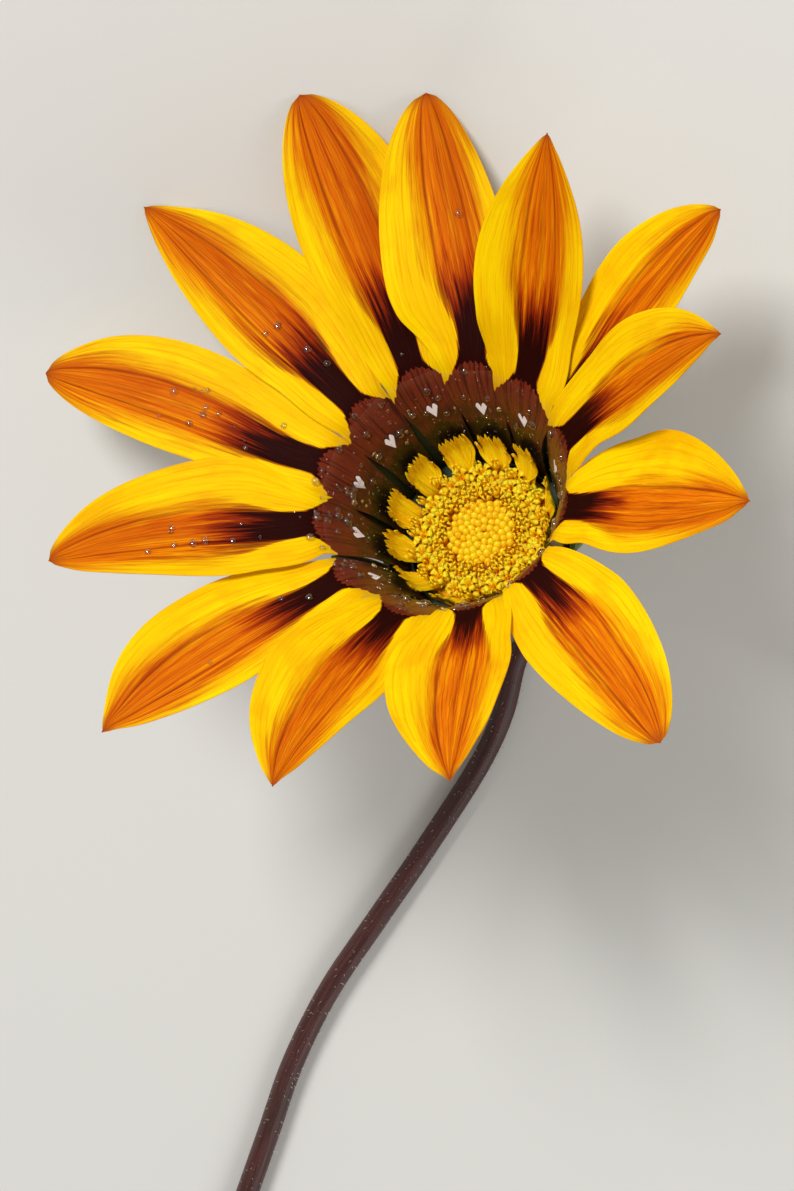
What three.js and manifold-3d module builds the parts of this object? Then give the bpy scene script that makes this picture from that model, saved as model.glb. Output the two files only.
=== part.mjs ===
// Treasure flower (Gazania), one cut bloom lying on a surface.
// Millimetres, +Z up. The stem lies along the surface and the head is propped on the tips of its lowest rays.
// The origin is at the centre of the bounding box, on the surface.

import * as THREE from 'three';
import { mergeVertices } from 'three/addons/utils/BufferGeometryUtils.js';
import Module from 'manifold-3d';

// Where the flower lies
const headX = 9.3;             // foot of the head's centre on the surface
const headY = 34.73;
const headHeight = 13.04;      // centre of the disc's base above the surface
const headLean = 51;           // head axis from the vertical, degrees
const headToward = 108;        // the way it leans, seen from above

// Disc
const discRadius = 8.4;
const discRise = 1.7;          // how far the dome stands above its edge
const discTop = 1.9;
const discUnderside = -0.9;
const budZone = 4.3;           // closed buds inside, open florets outside
const budCount = 58;
const openCount = 76;
const openLength = 1.7;
const budLength = 1.25;
const floretRoot = 0.7;        // how deep a floret is rooted in the dome

// Ray florets, the parts that all of them share
const clawFootRadius = 9.0;
const clawFootHeight = 0.6;
const clawLength = 16.0;
const clawSlopeFoot = 85;      // degrees above the plane of the disc
const clawSlopeRim = 60;
const bendLength = 4.5;
const rollStart = 6;           // along the claw, where a ray begins to roll
const rollLength = 12;
const clawWidthFoot = 3.6;
const clawWidthRim = 5.8;
const clawThickness = 0.9;
const limbThickness = 0.65;
const tipWidth = 0.6;

// Cup of bracts
const cupSides = 22;
const cupDepth = 12;
const cupProfile = [
  [0, -cupDepth], [1.7, -cupDepth], [2.3, -11.2], [3.6, -9.4], [5.6, -6.6], [8.0, -3.8],
  [10.0, -1.2], [11.0, 1.0], [11.4, 3.0], [10.8, 3.0], [10.5, 0.2], [8.8, 0.2],
  [8.8, -1.25], [0, -1.25],
];
const innerBracts = 12;
const innerBractFoot = 1.6;
const innerBractTop = 13.6;
const innerBractWidth = 2.3;
const outerBracts = 14;
const outerBractRoot = 9.1;    // radius where one leaves the cup
const outerBractReach = 3.6;
const outerBractFoot = -1.6;
const outerBractRise = 4.2;
const outerBractWidth = 3;
const bractTip = 0.5;
const bractThickness = 0.7;
const bractGap = 0.85;         // clear of the claws it backs
const hiddenRayRoom = 14;      // degrees left free of bracts behind the ray that is set outward

// Stem
const stemSides = 10;
const stemRadiusTop = 1.3;
const stemRadiusCut = 1.55;
const stemGap = 0.3;

// The thirteen ray florets, round the disc from the lowest one.
// azimuth: degrees from the lowest point of the head; length and width of the limb in mm;
// lift: limb above the plane of the disc; turn: swing just past the rim; sweep: curve along the limb;
// roll: one margin raised; camber: margins raised; peak: where it is widest; blunt: shape of the tip;
// growth: how soon it widens past the rim;
// bias: one half wider; outward: set behind its neighbours; start: how much of the claw is hidden in the cup
const rays = {
  ray_01: {
    azimuth: 3, length: 32.8, width: 14, lift: 29.8, turn: -0.4, sweep: 5.9, roll: 12,
    camber: 0.4, peak: 0.52, blunt: 0.63, growth: 1.1, bias: -0.07,
  },
  ray_02: {
    azimuth: -24, length: 30.2, width: 13.9, lift: 25.4, turn: 19.8, sweep: -2.1, roll: 14,
    camber: 0.4, peak: 0.36, blunt: 0.58, growth: 0.8, bias: 0.2,
  },
  ray_03: {
    azimuth: -51, length: 29.6, width: 12.3, lift: 43.9, turn: 10.9, sweep: 11.9, roll: 8.2,
    camber: 0.4, peak: 0.46, blunt: 0.93, growth: 0.89, bias: 0.2,
  },
  ray_04: {
    azimuth: -70, length: 29.9, width: 10.7, lift: 32.4, turn: 11.6, sweep: -19.2, roll: 2,
    camber: 0, peak: 0.56, blunt: 0.78, growth: 1.1, bias: 0.2, outward: 1.8, start: 3,
  },
  ray_05: {
    azimuth: -85, length: 32.5, width: 11.3, lift: 43.7, turn: -2.8, sweep: -24, roll: 2.7,
    camber: 0.4, peak: 0.48, blunt: 0.99, growth: 1.1, bias: 0.2,
  },
  ray_06: {
    azimuth: -116, length: 29.7, width: 13.9, lift: 30.9, turn: -11, sweep: 15, roll: 0,
    camber: 0.4, peak: 0.44, blunt: 0.84, growth: 1.1, bias: 0.26,
  },
  ray_07: {
    azimuth: -147, length: 30.5, width: 13, lift: 16.8, turn: 0, sweep: -15.1, roll: -3,
    camber: 0.4, peak: 0.36, blunt: 0.61, growth: 1.1, bias: -0.02,
  },
  ray_08: {
    azimuth: 183, length: 32.4, width: 13.2, lift: 36.7, turn: -9.2, sweep: 9.6, roll: -8,
    camber: 0.4, peak: 0.36, blunt: 0.94, growth: 1.1, bias: -0.2,
  },
  ray_09: {
    azimuth: 150, length: 32.5, width: 13.4, lift: 37.3, turn: -7.5, sweep: 24, roll: -7.4,
    camber: 0.4, peak: 0.4, blunt: 1, growth: 1.1, bias: -0.2,
  },
  ray_10: {
    azimuth: 118, length: 31.5, width: 14.2, lift: 19.6, turn: -10.2, sweep: 18.7, roll: 8.5,
    camber: 0, peak: 0.54, blunt: 0.98, growth: 1.1, bias: -0.2,
  },
  ray_11: {
    azimuth: 89, length: 29.7, width: 13.4, lift: 23.6, turn: -11.1, sweep: 24, roll: -4,
    camber: 0.4, peak: 0.36, blunt: 0.69, growth: 1.05, bias: -0.2,
  },
  ray_12: {
    azimuth: 61, length: 33.5, width: 12.2, lift: 13.4, turn: -16.6, sweep: 23.9, roll: -2,
    camber: 0.4, peak: 0.55, blunt: 0.62, growth: 1.05, bias: -0.14,
  },
  ray_13: {
    azimuth: 32, length: 33.2, width: 13.6, lift: 20, turn: -3.7, sweep: 9.2, roll: 10,
    camber: 0, peak: 0.44, blunt: 0.87, growth: 1.05, bias: -0.16,
  },
};
const clawStations = [0, 0.3, 0.6, 0.85];
const limbStations = [0, 0.06, 0.14, 0.24, 0.36, 0.5, 0.64, 0.77, 0.88, 0.96, 1];
const across = [-1, -0.5, 0, 0.5, 1];

// Materials
const rayYellow = new THREE.MeshStandardMaterial({ color: 0xf2b806, roughness: 0.55, metalness: 0 });
const floretYellow = new THREE.MeshStandardMaterial({ color: 0xf6cf12, roughness: 0.6, metalness: 0 });
const budOrange = new THREE.MeshStandardMaterial({ color: 0xe09a10, roughness: 0.6, metalness: 0 });
const bractGreen = new THREE.MeshStandardMaterial({ color: 0x5c7a34, roughness: 0.6, metalness: 0 });
const stemPurple = new THREE.MeshStandardMaterial({ color: 0x5b3a3c, roughness: 0.5, metalness: 0 });

const wasm = await Module();
wasm.setup();

const radians = THREE.MathUtils.degToRad;

function smooth(x) {
  const t = Math.min(Math.max(x, 0), 1);
  return t * t * (3 - 2 * t);
}

// Solids: geometry to a manifold and back, for joining florets and bracts
function solidFrom(geometry) {
  const bare = geometry.clone();
  bare.deleteAttribute('normal');
  bare.deleteAttribute('uv');
  const merged = mergeVertices(bare, 1e-4);
  return new wasm.Manifold(new wasm.Mesh({
    numProp: 3,
    vertProperties: new Float32Array(merged.attributes.position.array),
    triVerts: new Uint32Array(merged.index.array),
  }));
}

function geometryFrom(solid) {
  const mesh = solid.getMesh();
  const geometry = new THREE.BufferGeometry();
  geometry.setAttribute('position', new THREE.BufferAttribute(new Float32Array(mesh.vertProperties), 3));
  geometry.setIndex(new THREE.BufferAttribute(new Uint32Array(mesh.triVerts), 1));
  geometry.computeVertexNormals();
  return geometry;
}

function joined(geometries) {
  let solid = solidFrom(geometries[0]);
  for (const geometry of geometries.slice(1)) {
    solid = solid.add(solidFrom(geometry));
  }
  return geometryFrom(solid);
}

// A closed strip with an upper and a lower face: rows of points, each row as long as the others
function stripGeometry(upper, lower) {
  const rows = upper.length;
  const columns = upper[0].length;
  const points = [...upper.flat(), ...lower.flat()];
  const below = rows * columns;
  const index = [];
  const quad = (a, b, c, d) => index.push(a, b, c, a, c, d);
  for (let i = 0; i < rows - 1; i++) {
    for (let j = 0; j < columns - 1; j++) {
      const a = i * columns + j;
      const b = a + columns;
      quad(a, b, b + 1, a + 1);
      index.push(below + a, below + b + 1, below + b);
      index.push(below + a, below + a + 1, below + b + 1);
    }
    const first = i * columns;
    const last = first + columns - 1;
    quad(first, below + first, below + first + columns, first + columns);
    quad(last, last + columns, below + last + columns, below + last);
  }
  for (let j = 0; j < columns - 1; j++) {
    const end = (rows - 1) * columns + j;
    quad(j, j + 1, below + j + 1, below + j);
    quad(end, below + end, below + end + 1, end + 1);
  }
  const geometry = new THREE.BufferGeometry();
  geometry.setFromPoints(points);
  geometry.setIndex(index);
  geometry.computeVertexNormals();
  return geometry;
}

// Midline of a ray, stepped along its length: place, direction, and how far along the limb
function rayMidline(ray) {
  const { length, lift, turn, sweep, outward = 0 } = ray;
  const steps = 500;
  const total = clawLength + length;
  const place = new THREE.Vector3(clawFootRadius + outward, 0, clawFootHeight);
  const line = [];
  for (let i = 0; i <= steps; i++) {
    const s = total * i / steps;
    const u = Math.max(0, (s - clawLength) / length);
    const clawSlope = clawSlopeFoot + (clawSlopeRim - clawSlopeFoot) * Math.min(s / clawLength, 1);
    const bend = smooth((s - clawLength + 0.4 * bendLength) / bendLength);
    const rise = radians(clawSlope * (1 - bend) + lift * bend);
    const swing = radians(turn * smooth(u / 0.3) + sweep * u);
    const along = new THREE.Vector3(
      Math.cos(rise) * Math.cos(swing),
      Math.cos(rise) * Math.sin(swing),
      Math.sin(rise),
    );
    if (i > 0) place.addScaledVector(along, total / steps);
    line.push({ s, u, place: place.clone(), along, swing });
  }
  return line;
}

function rayHalfWidth(ray, s, u) {
  const foot = clawWidthFoot / 2;
  const rim = clawWidthRim / 2;
  if (s < clawLength) return foot + (rim - foot) * s / clawLength;
  const widest = ray.width / 2;
  if (u < ray.peak) {
    return rim + (widest - rim) * Math.sin(Math.PI / 2 * u / ray.peak) ** ray.growth;
  }
  const t = Math.min((u - ray.peak) / (1 - ray.peak), 1);
  return Math.max(widest * (1 - t ** 1.9) ** ray.blunt, tipWidth / 2);
}

function rayGeometry(ray) {
  const line = rayMidline(ray);
  const total = clawLength + ray.length;
  const start = ray.start ?? 0;
  const stations = [
    ...clawStations.map((c) => start + (clawLength - start) * c),
    ...limbStations.map((u) => clawLength + ray.length * u),
  ];
  const upper = [];
  const lower = [];
  for (const s of stations) {
    const step = line[Math.round(s / total * (line.length - 1))];
    const side = new THREE.Vector3(-Math.sin(step.swing), Math.cos(step.swing), 0);
    const up = step.along.clone().cross(side);
    const roll = radians(ray.roll) * smooth((s - rollStart) / rollLength);
    const lateral = side.clone().multiplyScalar(Math.cos(roll)).addScaledVector(up, Math.sin(roll));
    const normal = up.clone().multiplyScalar(Math.cos(roll)).addScaledVector(side, -Math.sin(roll));
    const half = rayHalfWidth(ray, s, step.u);
    const clawPart = 1 - Math.min(s / clawLength, 1);
    const thickness = limbThickness + (clawThickness - limbThickness) * clawPart;
    const top = across.map((q) => {
      const wider = 1 + ray.bias * Math.sign(q) * smooth(step.u * 4);
      return step.place.clone()
        .addScaledVector(lateral, half * q * wider)
        .addScaledVector(normal, ray.camber * half / 6 * q * q);
    });
    upper.push(top);
    lower.push(top.map((p) => p.clone().addScaledVector(normal, -thickness)));
  }
  return stripGeometry(upper, lower);
}

// Disc: a dome set with florets on a spiral of golden angles
const goldenAngle = Math.PI * (3 - Math.sqrt(5));

function domeHeight(r) {
  return discTop - discRise * (r / discRadius) ** 2;
}

function floretGeometry(profile, sides) {
  const points = profile.map(([r, h]) => new THREE.Vector2(r, h));
  return new THREE.LatheGeometry(points, sides);
}

function plantedFlorets(count, innerRadius, outerRadius, profile, sides, leanAtEdge, firstTurn) {
  const made = [];
  for (let i = 0; i < count; i++) {
    const area = innerRadius ** 2 + (outerRadius ** 2 - innerRadius ** 2) * (i + 0.5) / count;
    const r = Math.sqrt(area);
    const angle = i * goldenAngle + firstTurn;
    const lean = radians(leanAtEdge) * (r / discRadius) ** 2;
    const floret = floretGeometry(profile, sides);
    floret.rotateX(Math.PI / 2);
    floret.rotateZ(i * 1.3);
    floret.rotateY(lean);
    floret.translate(r, 0, domeHeight(r));
    floret.rotateZ(angle);
    made.push(floret);
  }
  return made;
}

function openFlorets() {
  const profile = [
    [0, -floretRoot], [0.4, -floretRoot], [0.45, openLength * 0.55],
    [0.64, openLength], [0, openLength - 0.25],
  ];
  const edge = domeHeight(discRadius);
  const core = new THREE.LatheGeometry([
    new THREE.Vector2(budZone + 0.35, discUnderside),
    new THREE.Vector2(discRadius, discUnderside),
    new THREE.Vector2(discRadius, edge),
    new THREE.Vector2(6.4, domeHeight(6.4)),
    new THREE.Vector2(budZone + 0.35, domeHeight(budZone)),
    new THREE.Vector2(budZone + 0.35, discUnderside),
  ], 28);
  core.rotateX(Math.PI / 2);
  const florets = plantedFlorets(openCount, budZone + 0.95, discRadius - 0.5, profile, 5, 18, 0);
  return joined([core, ...florets]);
}

function centralBuds() {
  const profile = [
    [0, -floretRoot], [0.4, -floretRoot], [0.42, budLength * 0.6], [0, budLength],
  ];
  const plug = new THREE.LatheGeometry([
    new THREE.Vector2(0, discUnderside),
    new THREE.Vector2(budZone, discUnderside),
    new THREE.Vector2(budZone, domeHeight(budZone)),
    new THREE.Vector2(budZone * 0.55, domeHeight(budZone * 0.55)),
    new THREE.Vector2(0, domeHeight(0)),
  ], 24);
  plug.rotateX(Math.PI / 2);
  const buds = plantedFlorets(budCount, 0, budZone - 0.45, profile, 5, 10, 0.6);
  return joined([plug, ...buds]);
}

// Outer face of the claws at a height, which the inner bracts follow
const plainClaw = rayMidline({ length: 30, lift: 30, turn: 0, sweep: 0 });

function clawBack(height) {
  const step = plainClaw.find((p) => p.place.z >= height) ?? plainClaw[plainClaw.length - 1];
  const outwards = new THREE.Vector3(step.along.z, 0, -step.along.x);
  return { radius: step.place.x + outwards.x * clawThickness, outwards };
}

function innerBract(azimuth) {
  const heights = [innerBractFoot, 5, 9, 12, innerBractTop];
  const upper = [];
  const lower = [];
  for (const h of heights) {
    const { radius, outwards } = clawBack(h);
    const t = (h - innerBractFoot) / (innerBractTop - innerBractFoot);
    const half = Math.max(innerBractWidth * (1 - t ** 1.6), bractTip) / 2;
    const row = [-1, 0, 1].map((q) => new THREE.Vector3(radius + bractGap, half * q, h));
    upper.push(row);
    lower.push(row.map((p) => p.clone().addScaledVector(outwards, bractThickness)));
  }
  const bract = stripGeometry(upper, lower);
  bract.rotateZ(radians(azimuth));
  return bract;
}

function outerBract(azimuth) {
  const upper = [];
  const lower = [];
  for (const t of [0, 0.35, 0.7, 1]) {
    const reach = outerBractRoot + outerBractReach * t;
    const h = outerBractFoot + outerBractRise * t ** 1.3;
    const half = Math.max(outerBractWidth * (1 - t ** 1.7), bractTip) / 2;
    const row = [-1, 0, 1].map((q) => new THREE.Vector3(reach, half * q, h));
    upper.push(row);
    lower.push(row.map((p) => p.clone().add(new THREE.Vector3(bractThickness, 0, -0.35))));
  }
  const bract = stripGeometry(upper, lower);
  bract.rotateZ(radians(azimuth));
  return bract;
}

function involucre() {
  const cup = new THREE.LatheGeometry(cupProfile.map(([r, h]) => new THREE.Vector2(r, h)), cupSides);
  cup.rotateX(Math.PI / 2);
  const ringRays = Object.values(rays).filter((ray) => !ray.outward);
  const order = ringRays.map((ray) => ray.azimuth).sort((a, b) => a - b);
  const pieces = [cup];
  for (let i = 0; i < innerBracts; i++) {
    const here = order[i];
    const next = i + 1 < order.length ? order[i + 1] : order[0] + 360;
    const between = (here + next) / 2;
    const behind = Math.abs(between - rays.ray_04.azimuth) < hiddenRayRoom;
    if (!behind) pieces.push(innerBract(between));
  }
  for (let i = 0; i < outerBracts; i++) {
    pieces.push(outerBract(i * 360 / outerBracts));
  }
  return joined(pieces);
}

// Stem: a tapering tube along a curve that never stands upright, with a flat facet underneath
function stemGeometry() {
  const tilt = radians(headLean);
  const way = radians(headToward);
  const axis = new THREE.Vector3(
    Math.sin(tilt) * Math.cos(way),
    Math.sin(tilt) * Math.sin(way),
    Math.cos(tilt),
  );
  const cupBase = new THREE.Vector3(0, 0, headHeight).addScaledVector(axis, -cupDepth - stemGap);
  // The neck bends down from the cup and is level once it lies on the surface
  const neck = cupBase.clone().addScaledVector(axis, -2.2);
  const laid = [
    [3.8, -15.6], [3.0, -18.6], [1.5, -22.4], [-0.2, -29.2], [-2.7, -35.2], [-9.9, -47.6], [-16.4, -58.0],
    [-22.8, -68.4], [-27.8, -79.0], [-31.5, -89.6], [-34.8, -99.0], [-38.2, -108.6], [-41.8, -118.4],
  ];
  const curve = new THREE.CatmullRomCurve3([
    cupBase,
    neck,
    ...laid.map(([x, y], i) => new THREE.Vector3(x, y, i === 0 ? 1.75 : 1.35)),
  ], false, 'centripetal');
  const stations = 24;
  const facet = Math.cos(Math.PI / stemSides);
  const rings = [];
  for (let i = 0; i <= stations; i++) {
    const t = i / stations;
    const place = curve.getPointAt(t);
    const along = curve.getTangentAt(t);
    const radius = stemRadiusTop + (stemRadiusCut - stemRadiusTop) * t;
    const flatness = smooth((t - 0.08) / 0.04);
    place.z += (radius * facet - place.z) * flatness;
    if (flatness >= 1) along.setZ(0).normalize();
    const side = along.clone().cross(new THREE.Vector3(0, 0, 1)).normalize();
    const up = side.clone().cross(along);
    const ring = [];
    for (let k = 0; k < stemSides; k++) {
      const turn = (k + 0.5) * 2 * Math.PI / stemSides;
      ring.push(place.clone()
        .addScaledVector(up, radius * Math.cos(turn))
        .addScaledVector(side, radius * Math.sin(turn)));
    }
    rings.push({ ring, place });
  }
  const points = rings.flatMap((r) => r.ring);
  const topCentre = points.push(rings[0].place) - 1;
  const cutCentre = points.push(rings[stations].place) - 1;
  const index = [];
  for (let i = 0; i < stations; i++) {
    for (let k = 0; k < stemSides; k++) {
      const a = i * stemSides + k;
      const b = i * stemSides + (k + 1) % stemSides;
      index.push(a, b + stemSides, a + stemSides, a, b, b + stemSides);
    }
  }
  for (let k = 0; k < stemSides; k++) {
    const next = (k + 1) % stemSides;
    index.push(topCentre, next, k);
    index.push(cutCentre, stations * stemSides + k, stations * stemSides + next);
  }
  const geometry = new THREE.BufferGeometry();
  geometry.setFromPoints(points);
  geometry.setIndex(index);
  geometry.computeVertexNormals();
  return geometry;
}

function piece(name, geometry, material) {
  const mesh = new THREE.Mesh(geometry, material);
  mesh.name = name;
  return mesh;
}

// The head, leaning on its lowest rays
const head = new THREE.Group();
head.position.set(0, 0, headHeight);
head.rotation.set(0, radians(headLean), radians(headToward), 'ZYX');
head.add(piece('involucre', involucre(), bractGreen));
head.add(piece('disc_florets', openFlorets(), floretYellow));
head.add(piece('disc_buds', centralBuds(), budOrange));
for (const [name, ray] of Object.entries(rays)) {
  const mesh = piece(name, rayGeometry(ray), rayYellow);
  mesh.rotation.z = radians(ray.azimuth);
  head.add(mesh);
}

const flower = new THREE.Group();
flower.position.set(headX, headY, 0);
flower.add(head);
flower.add(piece('stem', stemGeometry(), stemPurple));

const part = new THREE.Group();
part.add(flower);

export default part;
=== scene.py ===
import math
import random
from functools import partial

import bmesh
import bpy
import numpy as np
from mathutils import Matrix, Vector


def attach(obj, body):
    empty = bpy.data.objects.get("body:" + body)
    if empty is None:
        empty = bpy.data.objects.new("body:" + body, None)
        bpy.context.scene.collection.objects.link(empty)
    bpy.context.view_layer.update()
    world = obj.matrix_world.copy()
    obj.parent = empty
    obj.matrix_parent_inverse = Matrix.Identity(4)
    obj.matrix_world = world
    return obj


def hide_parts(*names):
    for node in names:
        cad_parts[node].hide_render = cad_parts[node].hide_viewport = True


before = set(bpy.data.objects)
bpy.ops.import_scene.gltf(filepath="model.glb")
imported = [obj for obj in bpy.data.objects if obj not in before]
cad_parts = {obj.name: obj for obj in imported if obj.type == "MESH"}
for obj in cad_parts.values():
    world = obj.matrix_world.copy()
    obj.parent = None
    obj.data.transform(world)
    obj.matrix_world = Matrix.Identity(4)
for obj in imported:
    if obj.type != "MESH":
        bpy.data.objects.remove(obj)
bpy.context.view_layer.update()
print("frame loaded:", len(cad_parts), "nodes")

# One bloom of a treasure flower, lying on its stem and on the tips of its lowest rays.
# Pieces are modelled in millimetres round the head's own axis, then placed in their mesh.

head = {
    "foot": (9.3, 34.73),     # below the centre of the disc
    "height": 13.04,
    "lean": 51,               # degrees from upright
    "toward": 108,            # the way it leans, seen from above
}
headMatrix = (
    Matrix.Translation((head["foot"][0], head["foot"][1], head["height"]))
    @ Matrix.Rotation(math.radians(head["toward"]), 4, "Z")
    @ Matrix.Rotation(math.radians(head["lean"]), 4, "Y")
)
toMetres = Matrix.Scale(0.001, 4)


# helpers for objects

def clearSelection():
    if bpy.context.object and bpy.context.object.mode != "OBJECT":
        bpy.ops.object.mode_set(mode="OBJECT")
    bpy.ops.object.select_all(action="DESELECT")


def makeActive(piece):
    clearSelection()
    piece.select_set(True)
    bpy.context.view_layer.objects.active = piece


def applyAll(piece):
    makeActive(piece)
    for modifier in list(piece.modifiers):
        bpy.ops.object.modifier_apply(modifier=modifier.name)


def joinAll(pieces, name):
    clearSelection()
    for piece in pieces:
        piece.select_set(True)
    bpy.context.view_layer.objects.active = pieces[0]
    if len(pieces) > 1:
        bpy.ops.object.join()
    joined = bpy.context.object
    joined.name = name
    joined.data.name = name
    return joined


def copyOf(model, matrix):
    twin = model.copy()
    twin.data = model.data.copy()
    twin.data.transform(matrix)
    bpy.context.collection.objects.link(twin)
    return twin


def facing(direction):
    return direction.to_track_quat("Z", "X").to_matrix().to_4x4()


def discard(piece):
    bpy.data.objects.remove(piece, do_unlink=True)


def dress(piece, *materials):
    piece.data.materials.clear()
    for material in materials:
        piece.data.materials.append(material)


def settle(piece, node=None, onHead=True):
    piece.data.transform(toMetres @ headMatrix if onHead else toMetres)
    piece.data.update()
    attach(piece, "root")
    if node:
        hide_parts(node)


def smooth(x):
    t = np.clip(x, 0, 1)
    return t * t * (3 - 2 * t)


def eased(x, low, high):
    return smooth((x - low) / (high - low))


# values that a material reads: a number for each point or one for all, or a pair for each corner
def setPointValue(mesh, name, values):
    layer = mesh.attributes.new(name, "FLOAT", "POINT")
    layer.data.foreach_set("value", np.full(len(mesh.vertices), values, dtype=np.float32))


def setCornerMap(mesh, name, first, second):
    corner = np.empty(len(mesh.loops), dtype=np.int32)
    mesh.loops.foreach_get("vertex_index", corner)
    layer = mesh.uv_layers.new(name=name) if name not in mesh.uv_layers else mesh.uv_layers[name]
    pairs = np.stack([first[corner], second[corner]], axis=1).astype(np.float32)
    layer.data.foreach_set("uv", pairs.ravel())


def getPoints(mesh):
    flat = np.empty(len(mesh.vertices) * 3)
    mesh.vertices.foreach_get("co", flat)
    return flat.reshape(-1, 3)


def setPoints(mesh, points):
    mesh.vertices.foreach_set("co", np.asarray(points, dtype=np.float32).ravel())
    mesh.update()


def newGrid(columns, rows):
    # a flat grid, and how far across it each point is, -1 to 1, and how far along it, 0 to 1
    clearSelection()
    bpy.ops.mesh.primitive_grid_add(x_subdivisions=columns, y_subdivisions=rows, size=2)
    piece = bpy.context.object
    flat = getPoints(piece.data)
    return piece, -flat[:, 0], (flat[:, 1] + 1) / 2


def addShell(piece, thickness, offset):
    shell = piece.modifiers.new("shell", "SOLIDIFY")
    shell.thickness = thickness
    shell.offset = offset
    return shell


def editAll(piece):
    makeActive(piece)
    bpy.ops.object.mode_set(mode="EDIT")
    bpy.ops.mesh.select_all(action="SELECT")


def smoothUnder(degrees):
    bpy.ops.object.shade_smooth_by_angle(angle=math.radians(degrees))


# helpers for materials; they work in the tree of the newest one

def newMaterial(name, **settings):
    global tree
    material = bpy.data.materials.new(name)
    material.use_nodes = True
    tree = material.node_tree
    tree.nodes.clear()
    output = tree.nodes.new("ShaderNodeOutputMaterial")
    shader = tree.nodes.new("ShaderNodeBsdfPrincipled")
    tree.links.new(shader.outputs["BSDF"], output.inputs["Surface"])
    for socket, value in settings.items():
        shader.inputs[socket].default_value = value
    return material, shader


def feed(socket, value):
    if isinstance(value, bpy.types.NodeSocket):
        tree.links.new(value, socket)
    else:
        socket.default_value = value


def maths(operation, a, b=0.0):
    node = tree.nodes.new("ShaderNodeMath")
    node.operation = operation
    for socket, value in zip(node.inputs, (a, b)):
        feed(socket, value)
    return node.outputs[0]


mul, add, less = (partial(maths, operation) for operation in ("MULTIPLY", "ADD", "SUBTRACT"))


def rise(value, low, high):
    # 0 at low, 1 at high, eased; low may be the larger one
    node = tree.nodes.new("ShaderNodeMapRange")
    node.interpolation_type = "SMOOTHSTEP"
    for name, given in (("Value", value), ("From Min", low), ("From Max", high)):
        feed(node.inputs[name], given)
    return node.outputs[0]


def blendColour(factor, a, b):
    node = tree.nodes.new("ShaderNodeMix")
    node.data_type = "RGBA"
    for index, value in ((0, factor), (6, a), (7, b)):       # its sockets for colours
        feed(node.inputs[index], value)
    return node.outputs[2]


def tinge(base, colour, source, low, high, share=1.0):
    # this share of the colour comes over the base where the source passes from low to high
    return blendColour(mul(rise(source, low, high), share), base, colour)


def rampColour(factor, stops):
    node = tree.nodes.new("ShaderNodeValToRGB")
    ramp = node.color_ramp
    while len(ramp.elements) < len(stops):
        ramp.elements.new(0.5)
    for element, (place, colour) in zip(ramp.elements, stops):
        element.position = place
        element.color = colour
    tree.links.new(factor, node.inputs[0])
    return node.outputs[0]


def grain(vector, scale, detail=2.0, roughness=0.5):
    node = tree.nodes.new("ShaderNodeTexNoise")
    node.inputs["Scale"].default_value = scale
    node.inputs["Detail"].default_value = detail
    node.inputs["Roughness"].default_value = roughness
    tree.links.new(vector, node.inputs["Vector"])
    return node.outputs[0]


def vectorOf(x, y, z=0.0):
    node = tree.nodes.new("ShaderNodeCombineXYZ")
    for socket, value in zip(node.inputs, (x, y, z)):
        feed(socket, value)
    return node.outputs[0]


def cornerMap(name):
    node = tree.nodes.new("ShaderNodeUVMap")
    node.uv_map = name
    split = tree.nodes.new("ShaderNodeSeparateXYZ")
    tree.links.new(node.outputs[0], split.inputs[0])
    return split.outputs[0], split.outputs[1]


def pointValue(name):
    node = tree.nodes.new("ShaderNodeAttribute")
    node.attribute_name = name
    return node.outputs["Fac"]


def objectPlace():
    # the piece's own coordinates, in millimetres
    place = tree.nodes.new("ShaderNodeTexCoord")
    node = tree.nodes.new("ShaderNodeMapping")
    node.inputs["Scale"].default_value = (1000, 1000, 1000)
    tree.links.new(place.outputs["Object"], node.inputs["Vector"])
    return node.outputs[0]


def colourBy(shader, colour):
    tree.links.new(colour, shader.inputs["Base Color"])


def addBump(shader, height, strength, distance):
    node = tree.nodes.new("ShaderNodeBump")
    node.inputs["Strength"].default_value = strength
    node.inputs["Distance"].default_value = distance
    tree.links.new(height, node.inputs["Height"])
    tree.links.new(node.outputs[0], shader.inputs["Normal"])


def paint(red, green, blue):
    # a colour given as it looks on a screen, 0 to 255
    linear = [((v / 255 + 0.055) / 1.055) ** 2.4 if v > 10 else v / 255 / 12.92 for v in (red, green, blue)]
    return (*linear, 1.0)


# ray florets

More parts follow.
